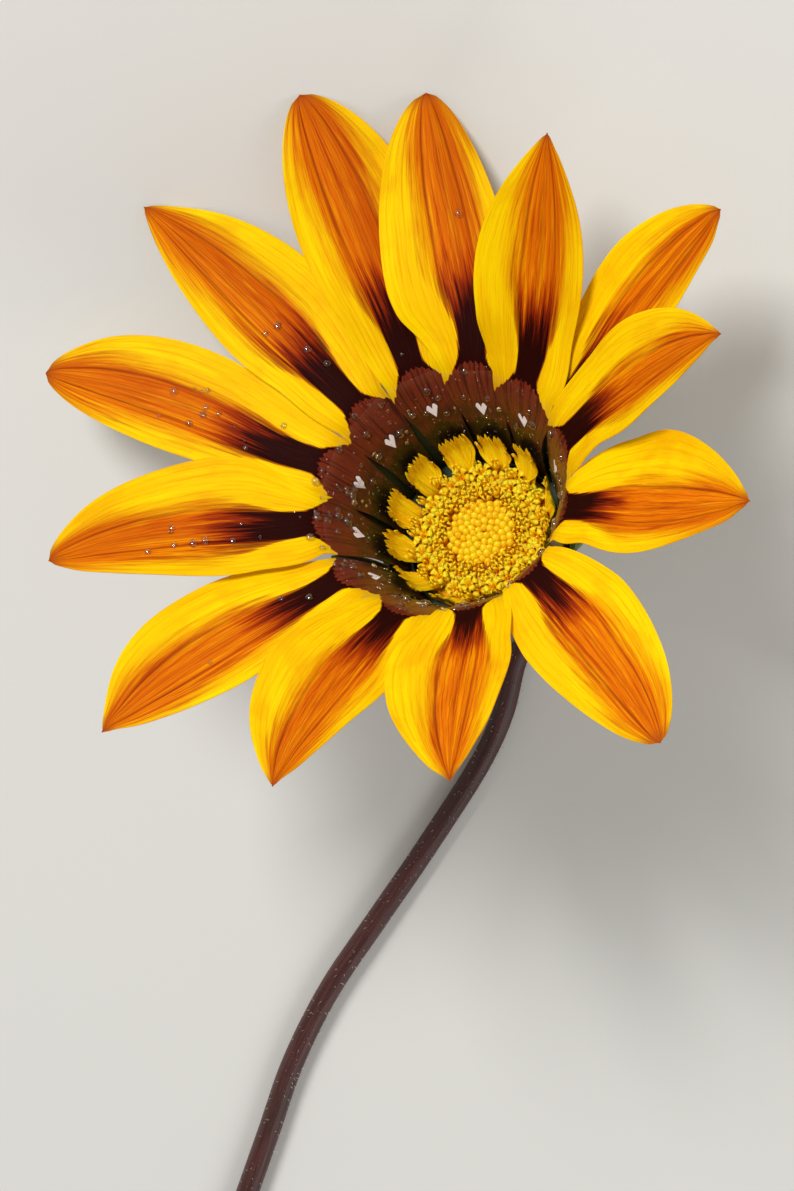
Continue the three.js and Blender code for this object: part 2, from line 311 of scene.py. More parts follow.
petals = {
    "clawFootRadius": 9.0,
    "clawFootHeight": 0.6,
    "clawLength": 16.0,
    "clawSlopes": (85, 60),       # degrees above the plane of the disc, at the foot and at the rim
    "bendLength": 4.5,
    "bendLead": 0.4,              # the share of the bend that comes before the claw's end
    "turnShare": 0.3,             # the share of the limb over which a ray turns aside
    "clawWidths": (3.6, 5.8),
    "rollStart": 6,               # along the claw, where a ray begins to roll
    "rollLength": 12,
    "clawThickness": 0.9,
    "limbThickness": 0.65,
    "taper": 1.9,                 # how late the limb narrows past its widest place
    "tipWidth": 0.3,
    "tipRound": 0.5,              # length of the rounded tip
    "thinTip": 1.6,               # length over which the blade thins out at the tip
    "thinnest": 0.05,
    "flare": 0.6,                 # widening near the rim, where neighbours meet
    "flareGrows": (7, 14),        # along the ray
    "flareFades": (17, 25),
    "columns": 36,
    "rows": 150,
    "rowCrowding": 1.35,          # above 1, rows lie closer towards the tip
    "keptThickness": (0.62, 0.8),     # share of the solid's, on the limb and at the claw's foot
    "marginThinning": 0.72,
    "undersideKept": (0.8, 0.93),     # share of the limb over which the underside becomes the solid's
    "grooveAt": 0.3,              # the two grooves, as a share of the half width
    "grooveWidth": 0.08,
    "grooveDepth": 0.2,
    "ribHeight": 0.035,
    "ribPitch": 21,
    "ribBreaks": 0.23,            # how often the ribs fade along the ray, radians per mm
    "waviness": 0.2,
    "marginWaves": 0.42,
    "broadWaves": 0.19,
    "reliefFades": (0.15, 0.12),  # share of the limb, at the claw's end and at the tip
    "stripeAtRim": 1.5,           # half width of the dark stripe where the claw ends, mm
    "stripeWidens": (17, 30),     # along the ray
    "stripeShare": (0.5, 0.85),   # its share of the half width further out, and at the tip
    "stripeSpreads": (0.55, 1),   # share of the limb over which it changes
    "clawFaceEnd": 15.6,          # the faces up to here are glossier
}

# azimuth round the disc, length and width; lift above the disc's plane, turn past the rim, sweep along the
# limb and roll, in degrees; camber, where it is widest (peak), how blunt it is, how late it widens
# (growth), its wider side (bias); blotch is how far the black runs out, and tone how deep the orange is
# on one side of the stripe
rays = {
    "ray_01": dict(
        azimuth=3, length=32.8, width=14, lift=29.8, turn=-0.4, sweep=5.9, roll=12,
        camber=0.4, peak=0.52, blunt=0.63, growth=1.1, bias=-0.07, blotch=7.5, tone=0.9, seed=1.3),
    "ray_02": dict(
        azimuth=-24, length=30.2, width=13.9, lift=25.4, turn=19.8, sweep=-2.1, roll=14,
        camber=0.4, peak=0.36, blunt=0.58, growth=1, bias=0.2, blotch=7, tone=0.85, seed=4.1),
    "ray_03": dict(
        azimuth=-51, length=29.6, width=12.3, lift=43.9, turn=10.9, sweep=11.9, roll=8.2, flare=1.1,
        camber=0.4, peak=0.46, blunt=0.93, growth=0.89, bias=0.2, blotch=7.5, tone=0.5, seed=7.7),
    "ray_04": dict(               # stands behind its neighbours, so it springs further out
        azimuth=-70, length=29.9, width=10.7, lift=32.4, turn=11.6, sweep=-19.2, roll=2, flare=1.7,
        camber=0, peak=0.56, blunt=0.78, growth=1.1, bias=0.2, blotch=7, tone=0.4, seed=9.2,
        outward=1.8, start=3),
    "ray_05": dict(
        azimuth=-85, length=32.5, width=11.3, lift=43.7, turn=-2.8, sweep=-24, roll=2.7, flare=0.9,
        camber=0.4, peak=0.48, blunt=0.99, growth=1.1, bias=0.2, blotch=7, tone=0.3, seed=12.8),
    "ray_06": dict(
        azimuth=-116, length=29.7, width=13.9, lift=30.9, turn=-11, sweep=15, roll=0,
        camber=0.4, peak=0.44, blunt=0.84, growth=1.1, bias=0.26, blotch=5, tone=0.15, seed=15.4),
    "ray_07": dict(
        azimuth=-147, length=30.5, width=13, lift=16.8, turn=0, sweep=-15.1, roll=-3,
        camber=0.4, peak=0.36, blunt=0.61, growth=1.1, bias=-0.02, blotch=5.5, tone=0.15, seed=18.9),
    "ray_08": dict(
        azimuth=183, length=32.4, width=13.2, lift=36.7, turn=-9.2, sweep=9.6, roll=-8, flare=1,
        camber=0.4, peak=0.36, blunt=0.94, growth=1.1, bias=-0.2, blotch=5, tone=0.2, seed=21.5),
    "ray_09": dict(
        azimuth=150, length=32.5, width=13.4, lift=37.3, turn=-7.5, sweep=24, roll=-7.4, flare=1,
        camber=0.4, peak=0.4, blunt=1, growth=1.1, bias=-0.2, blotch=5.5, tone=0.3, seed=24.1),
    "ray_10": dict(
        azimuth=118, length=31.5, width=14.2, lift=19.6, turn=-10.2, sweep=18.7, roll=8.5,
        camber=0, peak=0.54, blunt=0.98, growth=1.1, bias=-0.2, blotch=7, tone=0.55, seed=27.3),
    "ray_11": dict(
        azimuth=89, length=29.7, width=13.4, lift=23.6, turn=-11.1, sweep=24, roll=-4,
        camber=0.4, peak=0.36, blunt=0.69, growth=1.05, bias=-0.2, blotch=8, tone=0.6, seed=30.6),
    "ray_12": dict(
        azimuth=61, length=33.5, width=12.2, lift=13.4, turn=-16.6, sweep=23.9, roll=-2,
        camber=0.4, peak=0.55, blunt=0.62, growth=1.05, bias=-0.14, blotch=8.5, tone=0.6, seed=33.2),
    "ray_13": dict(
        azimuth=32, length=33.2, width=13.6, lift=20, turn=-3.7, sweep=9.2, roll=10,
        camber=0, peak=0.44, blunt=0.87, growth=1.05, bias=-0.16, blotch=8, tone=0.7, seed=36.7),
}


def rayMidline(ray, steps=500):
    # s is mm along the ray from the foot of its claw; then the places, headings and turns aside there
    claw, length = petals["clawLength"], ray["length"]
    total = claw + length
    s = np.linspace(0, total, steps + 1)
    u = limbShare(ray, s)
    low, high = petals["clawSlopes"]
    slope = low + (high - low) * np.minimum(s / claw, 1)
    bend = smooth((s - claw + petals["bendLead"] * petals["bendLength"]) / petals["bendLength"])
    climb = np.radians(slope * (1 - bend) + ray["lift"] * bend)
    swing = np.radians(ray["turn"] * smooth(u / petals["turnShare"]) + ray["sweep"] * u)
    along = np.stack([np.cos(climb) * np.cos(swing), np.cos(climb) * np.sin(swing), np.sin(climb)], axis=1)
    foot = np.array([petals["clawFootRadius"] + ray.get("outward", 0), 0, petals["clawFootHeight"]])
    place = foot + np.vstack([np.zeros(3), np.cumsum(along[1:], axis=0) * total / steps])
    return s, place, along, swing


def limbShare(ray, s):
    # 0 up to the claw's end, 1 at the tip
    return np.clip((s - petals["clawLength"]) / ray["length"], 0, None)


def widerSide(ray, q, u):
    return 1 + ray["bias"] * np.sign(q) * smooth(4 * u)


def halfWidth(ray, s, u):
    claw = petals["clawLength"]
    foot, rim = petals["clawWidths"][0] / 2, petals["clawWidths"][1] / 2
    widest = ray["width"] / 2
    grow = rim + (widest - rim) * np.sin(np.pi / 2 * np.clip(u / ray["peak"], 0, 1)) ** ray["growth"]
    t = np.clip((u - ray["peak"]) / (1 - ray["peak"]), 0, 1)
    shrink = widest * (1 - t ** petals["taper"]) ** ray["blunt"]
    width = np.where(s < claw, foot + (rim - foot) * s / claw, np.where(u < ray["peak"], grow, shrink))
    width = np.maximum(width, petals["tipWidth"] / 2)
    flared = eased(s, *petals["flareGrows"]) * (1 - eased(s, *petals["flareFades"]))
    width = width + ray.get("flare", petals["flare"]) * flared
    return width * np.sqrt(np.clip((claw + ray["length"] - s) / petals["tipRound"], 0.03, 1))


def rayRelief(ray, s, q, u):
    # grooves, ribs and waves of the upper face
    seed = ray["seed"]
    early, late = petals["reliefFades"]
    limb = smooth(u / early) * smooth((1 - u) / late)
    fold = np.exp(-((np.abs(q) - petals["grooveAt"]) / petals["grooveWidth"]) ** 2)
    ribs = np.cos(q * petals["ribPitch"] + seed) * (0.4 + 0.6 * np.sin(s * petals["ribBreaks"] + seed))
    margin = np.abs(q) ** 3 * np.sin(s * petals["marginWaves"] + seed * 2 + np.sign(q))
    wave = margin + 0.4 * np.sin(s * petals["broadWaves"] + q * 1.4 + seed)
    height = -petals["grooveDepth"] * fold * (0.25 + 0.75 * limb)
    height = height + petals["ribHeight"] * ribs * (0.4 + 0.6 * limb)
    return height + petals["waviness"] * wave * limb


def rayFace(ray, s, q):
    # points of the upper face, q from -1 to 1 across; also the normals and the half widths there
    line, place, along, swing = rayMidline(ray)
    centre = np.stack([np.interp(s, line, place[:, k]) for k in range(3)], axis=1)
    forward = np.stack([np.interp(s, line, along[:, k]) for k in range(3)], axis=1)
    forward /= np.linalg.norm(forward, axis=1)[:, None]
    angle = np.interp(s, line, swing)
    side = np.stack([-np.sin(angle), np.cos(angle), np.zeros_like(angle)], axis=1)
    up = np.cross(forward, side)
    u = limbShare(ray, s)
    roll = (np.radians(ray["roll"]) * smooth((s - petals["rollStart"]) / petals["rollLength"]))[:, None]
    lateral = side * np.cos(roll) + up * np.sin(roll)
    normal = up * np.cos(roll) - side * np.sin(roll)
    half = halfWidth(ray, s, u)
    points = centre + lateral * (half * q * widerSide(ray, q, u))[:, None]
    height = ray["camber"] * half / 6 * q ** 2 + rayRelief(ray, s, q, u)
    return points + normal * height[:, None], normal, half


def acrossStripe(half, y, s, u):
    # 0 on the midline, 1 at the edge of the stripe
    middle, end = petals["stripeShare"]
    share = middle + (end - middle) * eased(u, *petals["stripeSpreads"])
    widened = eased(s, *petals["stripeWidens"])
    edge = petals["stripeAtRim"] * (1 - widened) + share * half * widened
    return y / np.maximum(edge, 0.25)


def markRay(mesh, ray):
    for value in ("seed", "blotch", "tone"):
        setPointValue(mesh, value, ray[value])


def shapeRay(ray):
    piece, q, v = newGrid(petals["columns"], petals["rows"])
    mesh = piece.data
    start, total = ray.get("start", 0), petals["clawLength"] + ray["length"]
    s = start + (total - start) * (1 - (1 - v) ** petals["rowCrowding"])
    u = limbShare(ray, s)
    points, normal, half = rayFace(ray, s, q)

    # the solid's blade is thicker; its underside is kept near the tip, and its upper face elsewhere
    claw = 1 - np.clip(s / petals["clawLength"], 0, 1)
    full = petals["limbThickness"] + (petals["clawThickness"] - petals["limbThickness"]) * claw
    onLimb, onClaw = petals["keptThickness"]
    edge = 1 - petals["marginThinning"] * np.abs(q) ** 3
    thick = full * (onLimb + (onClaw - onLimb) * claw) * edge
    thin = np.maximum(thick * smooth((total - s) / petals["thinTip"]), petals["thinnest"])
    lower = (full - thick) * (0.45 + 0.55 * eased(u, *petals["undersideKept"])) + thick - thin
    setPoints(mesh, points - normal * lower[:, None])

    y = half * q
    setCornerMap(mesh, "reach", y, s)                        # millimetres across and along
    setCornerMap(mesh, "span", q, u)                         # -1 to 1 across, 0 to 1 along the limb
    setCornerMap(mesh, "stripe", acrossStripe(half, y * widerSide(ray, q, u), s, u), s)
    markRay(mesh, ray)
    group = piece.vertex_groups.new(name="thickness")
    for index, weight in enumerate(thin / thin.max()):
        group.add([index], float(weight), "REPLACE")
    shell = addShell(piece, float(thin.max()), -1)
    shell.vertex_group = "thickness"
    shell.material_offset = 1
    shell.use_even_offset = False
    dress(piece, petalFace, petalBack, toothYellow, clawFace)
    applyAll(piece)
    piece.vertex_groups.clear()
    reachMap = piece.data.uv_layers["reach"].data
    for face in piece.data.polygons:
        if face.material_index == 0 and reachMap[face.loop_start].uv[1] < petals["clawFaceEnd"]:
            face.material_index = 3
    smoothUnder(60)
    return piece


# yellow lobes on the claws, toothed like a crown

lobes = {
    "start": 0.3,            # along the claw, mm
    "end": 7.1,
    "endSpread": (-0.3, 0.2),
    "halfWidths": (1.2, 1.62, 1.55),    # at the foot, where it is widest, and at the crown
    "widestAt": 0.72,        # along the lobe
    "points": 6,
    "pointDepth": 1.05,
    "unevenness": (-0.5, 0.35),
    "crownDrop": 0.6 / 1.75,       # how much lower the sides of the crown are, as a share of its half width
    "notches": 6,
    "notchDepth": 0.13,
    "footIn": 1.15,          # how far the foot stands in from the claw, towards the disc
    "stand": 0.16,           # clear of the claw's face
    "bulge": 0.3 / 1.75,     # as a share of its half width
    "ridges": 0.13,
    "curl": 0.35,            # forward at the crown
    "thickness": 0.13,
    "columnsPerPoint": 4,
    "rows": 24,
    "straps": {              # thin lobes beside the broad one: side, top, half width
        "ray_01": ((-1.75, 7.4, 0.3), (1.5, 4.6, 0.2)),
        "ray_02": ((1.6, 5.4, 0.25), (-1.5, 4.4, 0.2)),
        "ray_03": ((-1.7, 6.2, 0.26), (1.6, 4.8, 0.22)),
        "ray_13": ((0.5, 6.6, 0.28), (-1.6, 4.8, 0.22)),
        "ray_12": ((1.55, 5.0, 0.24),),
        "ray_11": ((-1.5, 4.8, 0.24),),
        "ray_05": ((1.4, 5.2, 0.22),),
    },
    "strapStand": 0.45,
}


def shapeLobe(ray, chance, middle, top, halfWidths, points, stand):
    # its crown is cut into points, and so are its upper sides; a strap has one point
    piece, x, v = newGrid(points * lobes["columnsPerPoint"], lobes["rows"])
    mesh = piece.data
    narrow, wide, crown = halfWidths
    place = (x + 1) / 2 * points
    saw = np.abs(place % 1 - 0.5) * 2
    heights = [chance.uniform(*lobes["unevenness"]) for i in range(points + 1)]
    uneven = np.interp(place, np.arange(points + 1), heights)
    drop = lobes["crownDrop"] * np.abs(x) ** 2.5 * wide
    tip = top - drop - lobes["pointDepth"] * saw * (points > 1) + uneven
    s = lobes["start"] + (tip - lobes["start"]) * v

    widest = lobes["widestAt"]
    swell = narrow + (wide - narrow) * np.sin(np.pi / 2 * np.clip(v / widest, 0, 1)) ** 1.5
    taper = wide + (crown - wide) * np.clip((v - widest) / (1 - widest), 0, 1) ** 1.4
    width = np.where(v < widest, swell, taper)
    notches = np.abs((v * lobes["notches"] + chance.random()) % 1 - 0.5) * 2
    notches = lobes["notchDepth"] * notches * eased(v, 0.4, 0.6) * np.abs(x) ** 4
    width = width * (1 - notches * (points > 1))
    low, high = petals["clawWidths"]
    claw = (low + (high - low) * s / petals["clawLength"]) / 2
    y = middle * smooth(v / 0.6) + x * width
    face, normal = rayFace(ray, s, y / claw)[:2]

    ridges = lobes["ridges"] * np.cos(x * 8 + chance.uniform(0, 3))
    bulge = lobes["bulge"] * (1 - x ** 2) * (0.4 + 0.6 * v) * wide
    height = stand + bulge + ridges * v + lobes["curl"] * v ** 4
    height = height + lobes["footIn"] * (1 - smooth(v / 0.75))
    setPoints(mesh, face + normal * (height + lobes["thickness"])[:, None])
    setCornerMap(mesh, "reach", y, s)
    setCornerMap(mesh, "span", x, v)
    setCornerMap(mesh, "stripe", x, s)
    markRay(mesh, ray)
    addShell(piece, lobes["thickness"], -1)
    dress(piece, petalFace, petalBack, toothYellow, clawFace)
    for polygon in mesh.polygons:
        polygon.material_index = 2
    applyAll(piece)
    smoothUnder(45)
    return piece


# materials of the ray florets

rayColours = {
    "yellow": paint(240, 192, 0),
    # paler yellow of the painted highlights on the margins
    "highlightYellow": paint(246, 207, 0),
    "deepYellow": paint(228, 154, 0),
    "orange": paint(220, 112, 0),
    "lightOrange": paint(236, 150, 0),
    "burntOrange": paint(168, 62, 0),
    "redOrange": paint(170, 54, 0),
    "deepOrange": paint(176, 60, 2),
    # painted shade in the grooves, also used for the darker line down the middle
    "grooveShade": paint(128, 46, 4),
    "rust": paint(130, 36, 4),
    "darkRed": paint(70, 10, 2),
    "black": paint(36, 3, 1),
    "brown": paint(114, 42, 22),
    # violet of the painted sheen on the outer claw
    "plumSheen": paint(120, 52, 34),
    "darkBrown": paint(64, 19, 15),
    "innerBrown": paint(92, 26, 24),
    "halo": paint(16, 6, 5),
    "heart": paint(252, 246, 255),
    # pale colour of the painted glints of the finest dew
    "dewGlint": paint(226, 208, 200),
    "tip": paint(168, 74, 14),
    "back": (paint(248, 208, 40), paint(232, 176, 24)),
    "backBand": (paint(176, 112, 50), paint(122, 84, 52)),
    "backClaw": (paint(150, 122, 50), paint(104, 92, 46)),
    "lobe": (paint(255, 224, 12), paint(252, 192, 4)),
    "lobeLine": paint(232, 158, 4),
    # painted shade at the foot of a lobe
    "lobeFootShade": paint(206, 128, 8),
}

markings = {
    "hairlines": (58, 0.22),      # streaks: how fine across the petal and along it
    "veins": (26, 0.15),
    "streaks": (11, 0.08),
    "broad": (4, 0.06),
    "patches": (2.2, 0.2),
    "nervePitch": 8.5,
    "blotchFrom": 15.2,           # along the ray, mm; each ray's own blotch comes on top
    "frayLength": 9.0,
    "frayBy": (12.0, 8.0, 6.0),   # how far streaks, veins and hairlines push the fray
    "rimAt": 16.7,                # where the brown ends
    "rimArch": 0.25,
    "sawPitch": 1.7,
    "sawDepth": 0.75,
    "haloAt": 6.0,                # middle of the black round a lobe
    "haloSize": (2.1, 2.9),
    "heartAt": 10.5,
    "heartLobe": 0.34,            # from its midline to the middle of one lobe
    "heartStretch": 0.8,          # smaller is longer
}


def petalFaceMaterial(name, specular, coat):
    c = rayColours
    m = markings
    material, shader = newMaterial(name, **{
        "Subsurface Weight": 0.05, "Subsurface Scale": 0.0005, "Specular IOR Level": specular,
        "Coat Weight": coat, "Coat Roughness": 0.22})
    shader.inputs["Subsurface Radius"].default_value = (1.0, 0.5, 0.1)
    y, s = cornerMap("reach")
    q, u = cornerMap("span")
    band = cornerMap("stripe")[0]
    seed, blotch, tone = (pointValue(value) for value in ("seed", "blotch", "tone"))
    absQ, absY, absBand = (maths("ABSOLUTE", value) for value in (q, y, band))

    def streaksOf(kind, detail, roughness=0.5):
        across, along = m[kind]
        return grain(vectorOf(mul(q, across), mul(s, along), seed), 1, detail, roughness)

    hairlines = streaksOf("hairlines", 2, 0.6)
    veins = streaksOf("veins", 3, 0.6)
    streaks = streaksOf("streaks", 4, 0.65)
    broad = streaksOf("broad", 2)
    patches = streaksOf("patches", 3)
    speckle = grain(vectorOf(mul(y, 5), mul(s, 5), seed), 1, 2)
    # thin nerves at even spacing, which run together at the tip
    sway = mul(less(patches, 0.5), 0.9)
    nerves = maths("PINGPONG", add(mul(q, m["nervePitch"]), sway), 0.5)

    # yellow margins with painted highlights in broad streaks and painted shade in patches, deeper along the
    # veins
    sunny = tinge(c["yellow"], c["highlightYellow"], broad, 0.4, 0.66)
    shaded = tinge(sunny, c["deepYellow"], patches, 0.5, 0.72, 0.4)
    veined = tinge(shaded, c["deepYellow"], veins, 0.48, 0.76, 0.55)
    threads = mul(rise(nerves, 0.36, 0.5), add(0.12, mul(rise(veins, 0.4, 0.6), 0.4)))
    nerved = blendColour(threads, veined, c["deepYellow"])
    yellow = tinge(nerved, c["deepYellow"], hairlines, 0.5, 0.8, 0.4)

    # orange stripe with darker veins, painted shade in the two grooves that deepens towards the tip, and a
    # darker line down the middle in the same colour
    ground = tinge(c["orange"], c["lightOrange"], streaks, 0.5, 0.34, 0.8)
    flush = mul(tone, rise(band, 0.9, -0.5))           # deeper on one side of the stripe
    base = blendColour(mul(flush, 0.6), ground, c["deepOrange"])
    lined = tinge(base, c["burntOrange"], streaks, 0.53, 0.68, 0.8)
    fine = tinge(lined, c["burntOrange"], hairlines, 0.5, 0.7, 0.55)
    bright = tinge(fine, c["deepYellow"], veins, 0.42, 0.26, 0.55)
    threaded = tinge(bright, c["burntOrange"], nerves, 0.37, 0.5, 0.6)
    wander = mul(less(broad, 0.5), 0.12)
    fromGroove = maths("ABSOLUTE", less(add(absQ, wander), petals["grooveAt"]))
    grooveShade = mul(rise(fromGroove, 0.05, 0.0), add(0.2, mul(rise(u, 0.15, 0.8), 0.5)))
    fromMiddle = maths("ABSOLUTE", add(q, wander))
    midrib = mul(rise(fromMiddle, 0.03, 0.0), mul(rise(u, 0.1, 0.5), 0.4))
    orange = blendColour(maths("MAXIMUM", grooveShade, midrib), threaded, c["grooveShade"])

    # the stripe's ragged border; next to the claw it opens to the whole width
    shoulder = mul(rise(s, 17.6, 15.0), 0.6)
    ragged = mul(less(streaks, 0.5), add(0.25, mul(rise(u, 0.1, 0.5), 0.9)))
    border = add(add(1.0, shoulder), add(ragged, mul(less(hairlines, 0.5), 0.3)))
    soft = add(0.06, mul(rise(u, 0.1, 0.45), 0.4))
    stripe = rise(absBand, add(border, soft), less(border, soft))

    # black blotch that frays out into red and orange
    byStreaks, byVeins, byHairlines = m["frayBy"]
    fineFray = add(mul(less(veins, 0.5), byVeins), mul(less(hairlines, 0.5), byHairlines))
    fray = add(mul(less(streaks, 0.5), byStreaks), fineFray)
    reach = less(add(add(blotch, m["blotchFrom"]), fray), mul(mul(absBand, absBand), 2.2))
    past = maths("DIVIDE", less(s, reach), m["frayLength"])
    fade = rampColour(past, [
        (0.0, c["black"]), (0.16, c["darkRed"]), (0.36, c["rust"]), (0.7, c["redOrange"]),
        (1.0, c["orange"])])
    middle = tinge(fade, orange, past, 0.35, 1.0)
    limb = blendColour(stripe, yellow, middle)
    atBorder = mul(rise(stripe, 0.0, 0.4), rise(stripe, 1.0, 0.6))
    fringe = mul(atBorder, rise(past, 0.8, 0.2))
    fringed = blendColour(mul(fringe, 0.75), limb, c["redOrange"])
    tipped = tinge(fringed, c["tip"], u, 0.93, 1.0, 0.85)

    # brown claw, darker towards the disc, black round the lobe
    lower = add(s, mul(less(streaks, 0.5), 4.0))
    clawRamp = rampColour(maths("DIVIDE", lower, 18), [
        (0.39, c["halo"]), (0.47, c["innerBrown"]), (0.54, c["darkBrown"]), (0.64, c["brown"]),
        (0.95, c["brown"])])
    # painted sheen: a violet highlight over the outer claw, streaked along the veins
    outer = mul(rise(s, 10.5, 14.0), mul(rise(veins, 0.44, 0.62), 0.55))
    sheened = blendColour(outer, clawRamp, c["plumSheen"])
    clawLines = tinge(sheened, c["darkBrown"], streaks, 0.48, 0.62, 0.9)
    clawFine = tinge(clawLines, c["darkBrown"], hairlines, 0.54, 0.7, 0.6)
    haloAcross = maths("POWER", maths("DIVIDE", absY, m["haloSize"][0]), 2)
    haloAlong = maths("POWER", maths("DIVIDE", less(s, m["haloAt"]), m["haloSize"][1]), 2)
    fromLobe = maths("SQRT", add(haloAcross, haloAlong))
    rough = add(fromLobe, add(mul(less(streaks, 0.5), 0.8), mul(less(speckle, 0.5), 0.35)))
    darkened = tinge(clawFine, c["halo"], rough, 1.12, 0.86)
    # the finest dew, too small to model, painted as pale dots of glint
    glintDots = grain(vectorOf(mul(y, 4.2), mul(s, 4.2), mul(seed, 3)), 1, 0)
    glinted = tinge(darkened, c["dewGlint"], glintDots, 0.8, 0.86, 0.75)

    # saw-edged outer border of the brown, lower at the margins
    saw = maths("PINGPONG", add(mul(y, m["sawPitch"]), seed), 0.5)
    arch = less(m["rimAt"], mul(mul(y, y), m["rimArch"]))
    rim = add(add(arch, mul(saw, m["sawDepth"])), mul(less(speckle, 0.5), 0.45))
    inClaw = rise(less(s, rim), 0.05, -0.05)
    colour = blendColour(inClaw, tipped, glinted)

    # pale heart: straight sides below, two lobes above, a dark line round it
    lobeAt = m["heartLobe"]
    t = mul(less(s, add(m["heartAt"], mul(maths("SINE", seed), 0.35))), m["heartStretch"])
    slant = add(y, mul(t, mul(maths("SINE", mul(seed, 2.3)), 0.16)))
    away = maths("ABSOLUTE", slant)
    lobe = maths("POWER", maths("DIVIDE", less(away, lobeAt), lobeAt), 2)
    above = less(less(0.78, mul(lobe, 0.55)), t)
    below = less(add(t, 0.84), mul(away, 1.75))
    inside = maths("MINIMUM", above, below)
    outlined = tinge(colour, c["halo"], inside, -0.26, -0.08)
    hearted = tinge(outlined, c["heart"], inside, -0.02, 0.05)
    colourBy(shader, hearted)

    # the brown claws shine, the limb is satin
    gloss = less(0.56, mul(inClaw, 0.24))
    tree.links.new(add(gloss, mul(speckle, 0.1)), shader.inputs["Roughness"])
    height = add(add(veins, mul(hairlines, 0.5)), mul(rise(nerves, 0.3, 0.5), -0.35))
    addBump(shader, height, 0.5, 0.00014)
    return material


def petalBackMaterial():
    # yellow with a dull band, greenish on the claw
    material, shader = newMaterial("petal_back", **{
        "Roughness": 0.55, "Subsurface Weight": 0.08, "Subsurface Scale": 0.0006})
    q, u = cornerMap("span")
    s = cornerMap("reach")[1]
    seed = pointValue("seed")
    absQ = maths("ABSOLUTE", q)
    veins = grain(vectorOf(mul(q, 22), mul(s, 0.14), seed), 1, 3, 0.6)
    streaks = grain(vectorOf(mul(q, 8), mul(s, 0.08), seed), 1, 3)
    pale = tinge(*rayColours["back"], veins, 0.4, 0.7)
    band = rise(add(absQ, mul(less(streaks, 0.5), 0.4)), 0.62, 0.38)
    middle = tinge(*rayColours["backBand"], streaks, 0.4, 0.65)
    limb = blendColour(mul(band, rise(u, 1.0, 0.55)), pale, middle)
    claw = tinge(*rayColours["backClaw"], veins, 0.4, 0.7)
    colour = tinge(claw, limb, s, 15.0, 19.0)
    colourBy(shader, colour)
    addBump(shader, veins, 0.4, 0.00012)
    return material


def lobeMaterial():
    material, shader = newMaterial("tooth_yellow", **{
        "Roughness": 0.4, "Subsurface Weight": 0.08, "Subsurface Scale": 0.0004})
    x, v = cornerMap("span")
    seed = pointValue("seed")
    streaks = grain(vectorOf(mul(x, 7), mul(v, 1.2), seed), 1, 3)
    fine = grain(vectorOf(mul(x, 22), mul(v, 2.5), seed), 1, 2)
    ridged = tinge(*rayColours["lobe"], streaks, 0.4, 0.66)
    lined = tinge(ridged, rayColours["lobeLine"], fine, 0.5, 0.75, 0.5)
    # painted shade towards the foot of the lobe, down by the disc
    colour = blendColour(rise(v, 0.3, 0.0), lined, rayColours["lobeFootShade"])
    colourBy(shader, colour)
    addBump(shader, streaks, 0.4, 0.0001)
    return material


petalFace = petalFaceMaterial("petal_face", specular=0.05, coat=0.0)
clawFace = petalFaceMaterial("claw_face", specular=0.35, coat=0.25)
petalBack = petalBackMaterial()
toothYellow = lobeMaterial()

chance = random.Random(11)
for name, ray in rays.items():
    parts = [shapeRay(ray)]
    if ray.get("start", 0) == 0:
        top = lobes["end"] + chance.uniform(*lobes["endSpread"])
        parts.append(shapeLobe(ray, chance, 0, top, lobes["halfWidths"], lobes["points"], lobes["stand"]))
        for side, strapTop, wide in lobes["straps"].get(name, ()):
            parts.append(shapeLobe(ray, chance, side, strapTop, (0.2, wide, 0.1), 1, lobes["strapStand"]))
    petal = joinAll(parts, name + "_petal")
    petal.data.transform(Matrix.Rotation(math.radians(ray["azimuth"]), 4, "Z"))
    settle(petal, name)
print("ray florets:", len(rays))


# disc: dome, closed buds in the middle, open florets round them

disc = {
    "radius": 8.4,
    "rise": 1.7,
    "top": 1.9,
    "underside": -0.9,
    "budZone": 4.3,
    "packing": 0.75,         # how far the ground between the open florets is filled, mm
    "packedAt": (7.9, 7.2, 6.4, 5.4, 4.8),
    "budGroundAt": (3.4, 2.5, 1.6, 0.8),
    "tubeSides": 15,
    "sidesPerLobe": 3,
    "wall": 0.11,
    "sizes": (0.9, 1.12),
    "heights": (0.85, 1.15),
    "climbFrom": 0.75,       # share of the disc's radius inside which climbing florets are shorter
    "groundTint": 0.6,
    "coreGap": 0.02,         # between the ground of the open florets and the bud zone's edge
    "plugGap": 0.05,         # between the ground of the buds and that edge
    "paleAbove": 0.6,        # a floret is paler above this height
    "paleBeyond": (0.3, 0.7),       # and further out, on its lobes
}

bud = {
    "radius": 0.5,
    "girth": 1.06,
    "seams": 5,
    "seamDepth": 0.16,
    "stretch": (1.25, 2.0),  # above and below its middle
    "point": 0.18,
    "middle": 0.62,          # height over the dome
}

style = {
    "length": 2.7,
    "radius": 0.07,
    "middle": 1.0,
    "prongRadii": (0.075, 0.03),
    "prongLength": 0.5,
    "prongAt": (0.13, 2.5),  # to the side, and up
    "prongLean": 0.55,       # radians
}

# how many stand between which two radii; their lean at the disc's edge and its spread, in degrees;
# the first one's turn, in radians; and how much taller the outer ones are
crowds = {
    "open_floret": dict(count=46, ring=(5.0, 7.1), lean=2, spread=12, turn=0, seed=3, climb=1.3),
    "tall_floret": dict(count=16, ring=(6.4, 7.3), lean=2, spread=9, turn=0.4, seed=5, climb=1.3),
    "slim_floret": dict(count=24, ring=(7.2, 7.8), lean=3, spread=10, turn=1.9, seed=6, climb=1.3),
    "half_open_floret": dict(count=37, ring=(3.9, 5.25), lean=6, spread=8, turn=0.2, seed=8),
    "style": dict(count=16, ring=(5.6, 7.2), lean=8, spread=14, turn=1.1, seed=9),
    "bud": dict(count=84, ring=(0, 3.75), lean=8, spread=3, turn=0.6, seed=4),
}

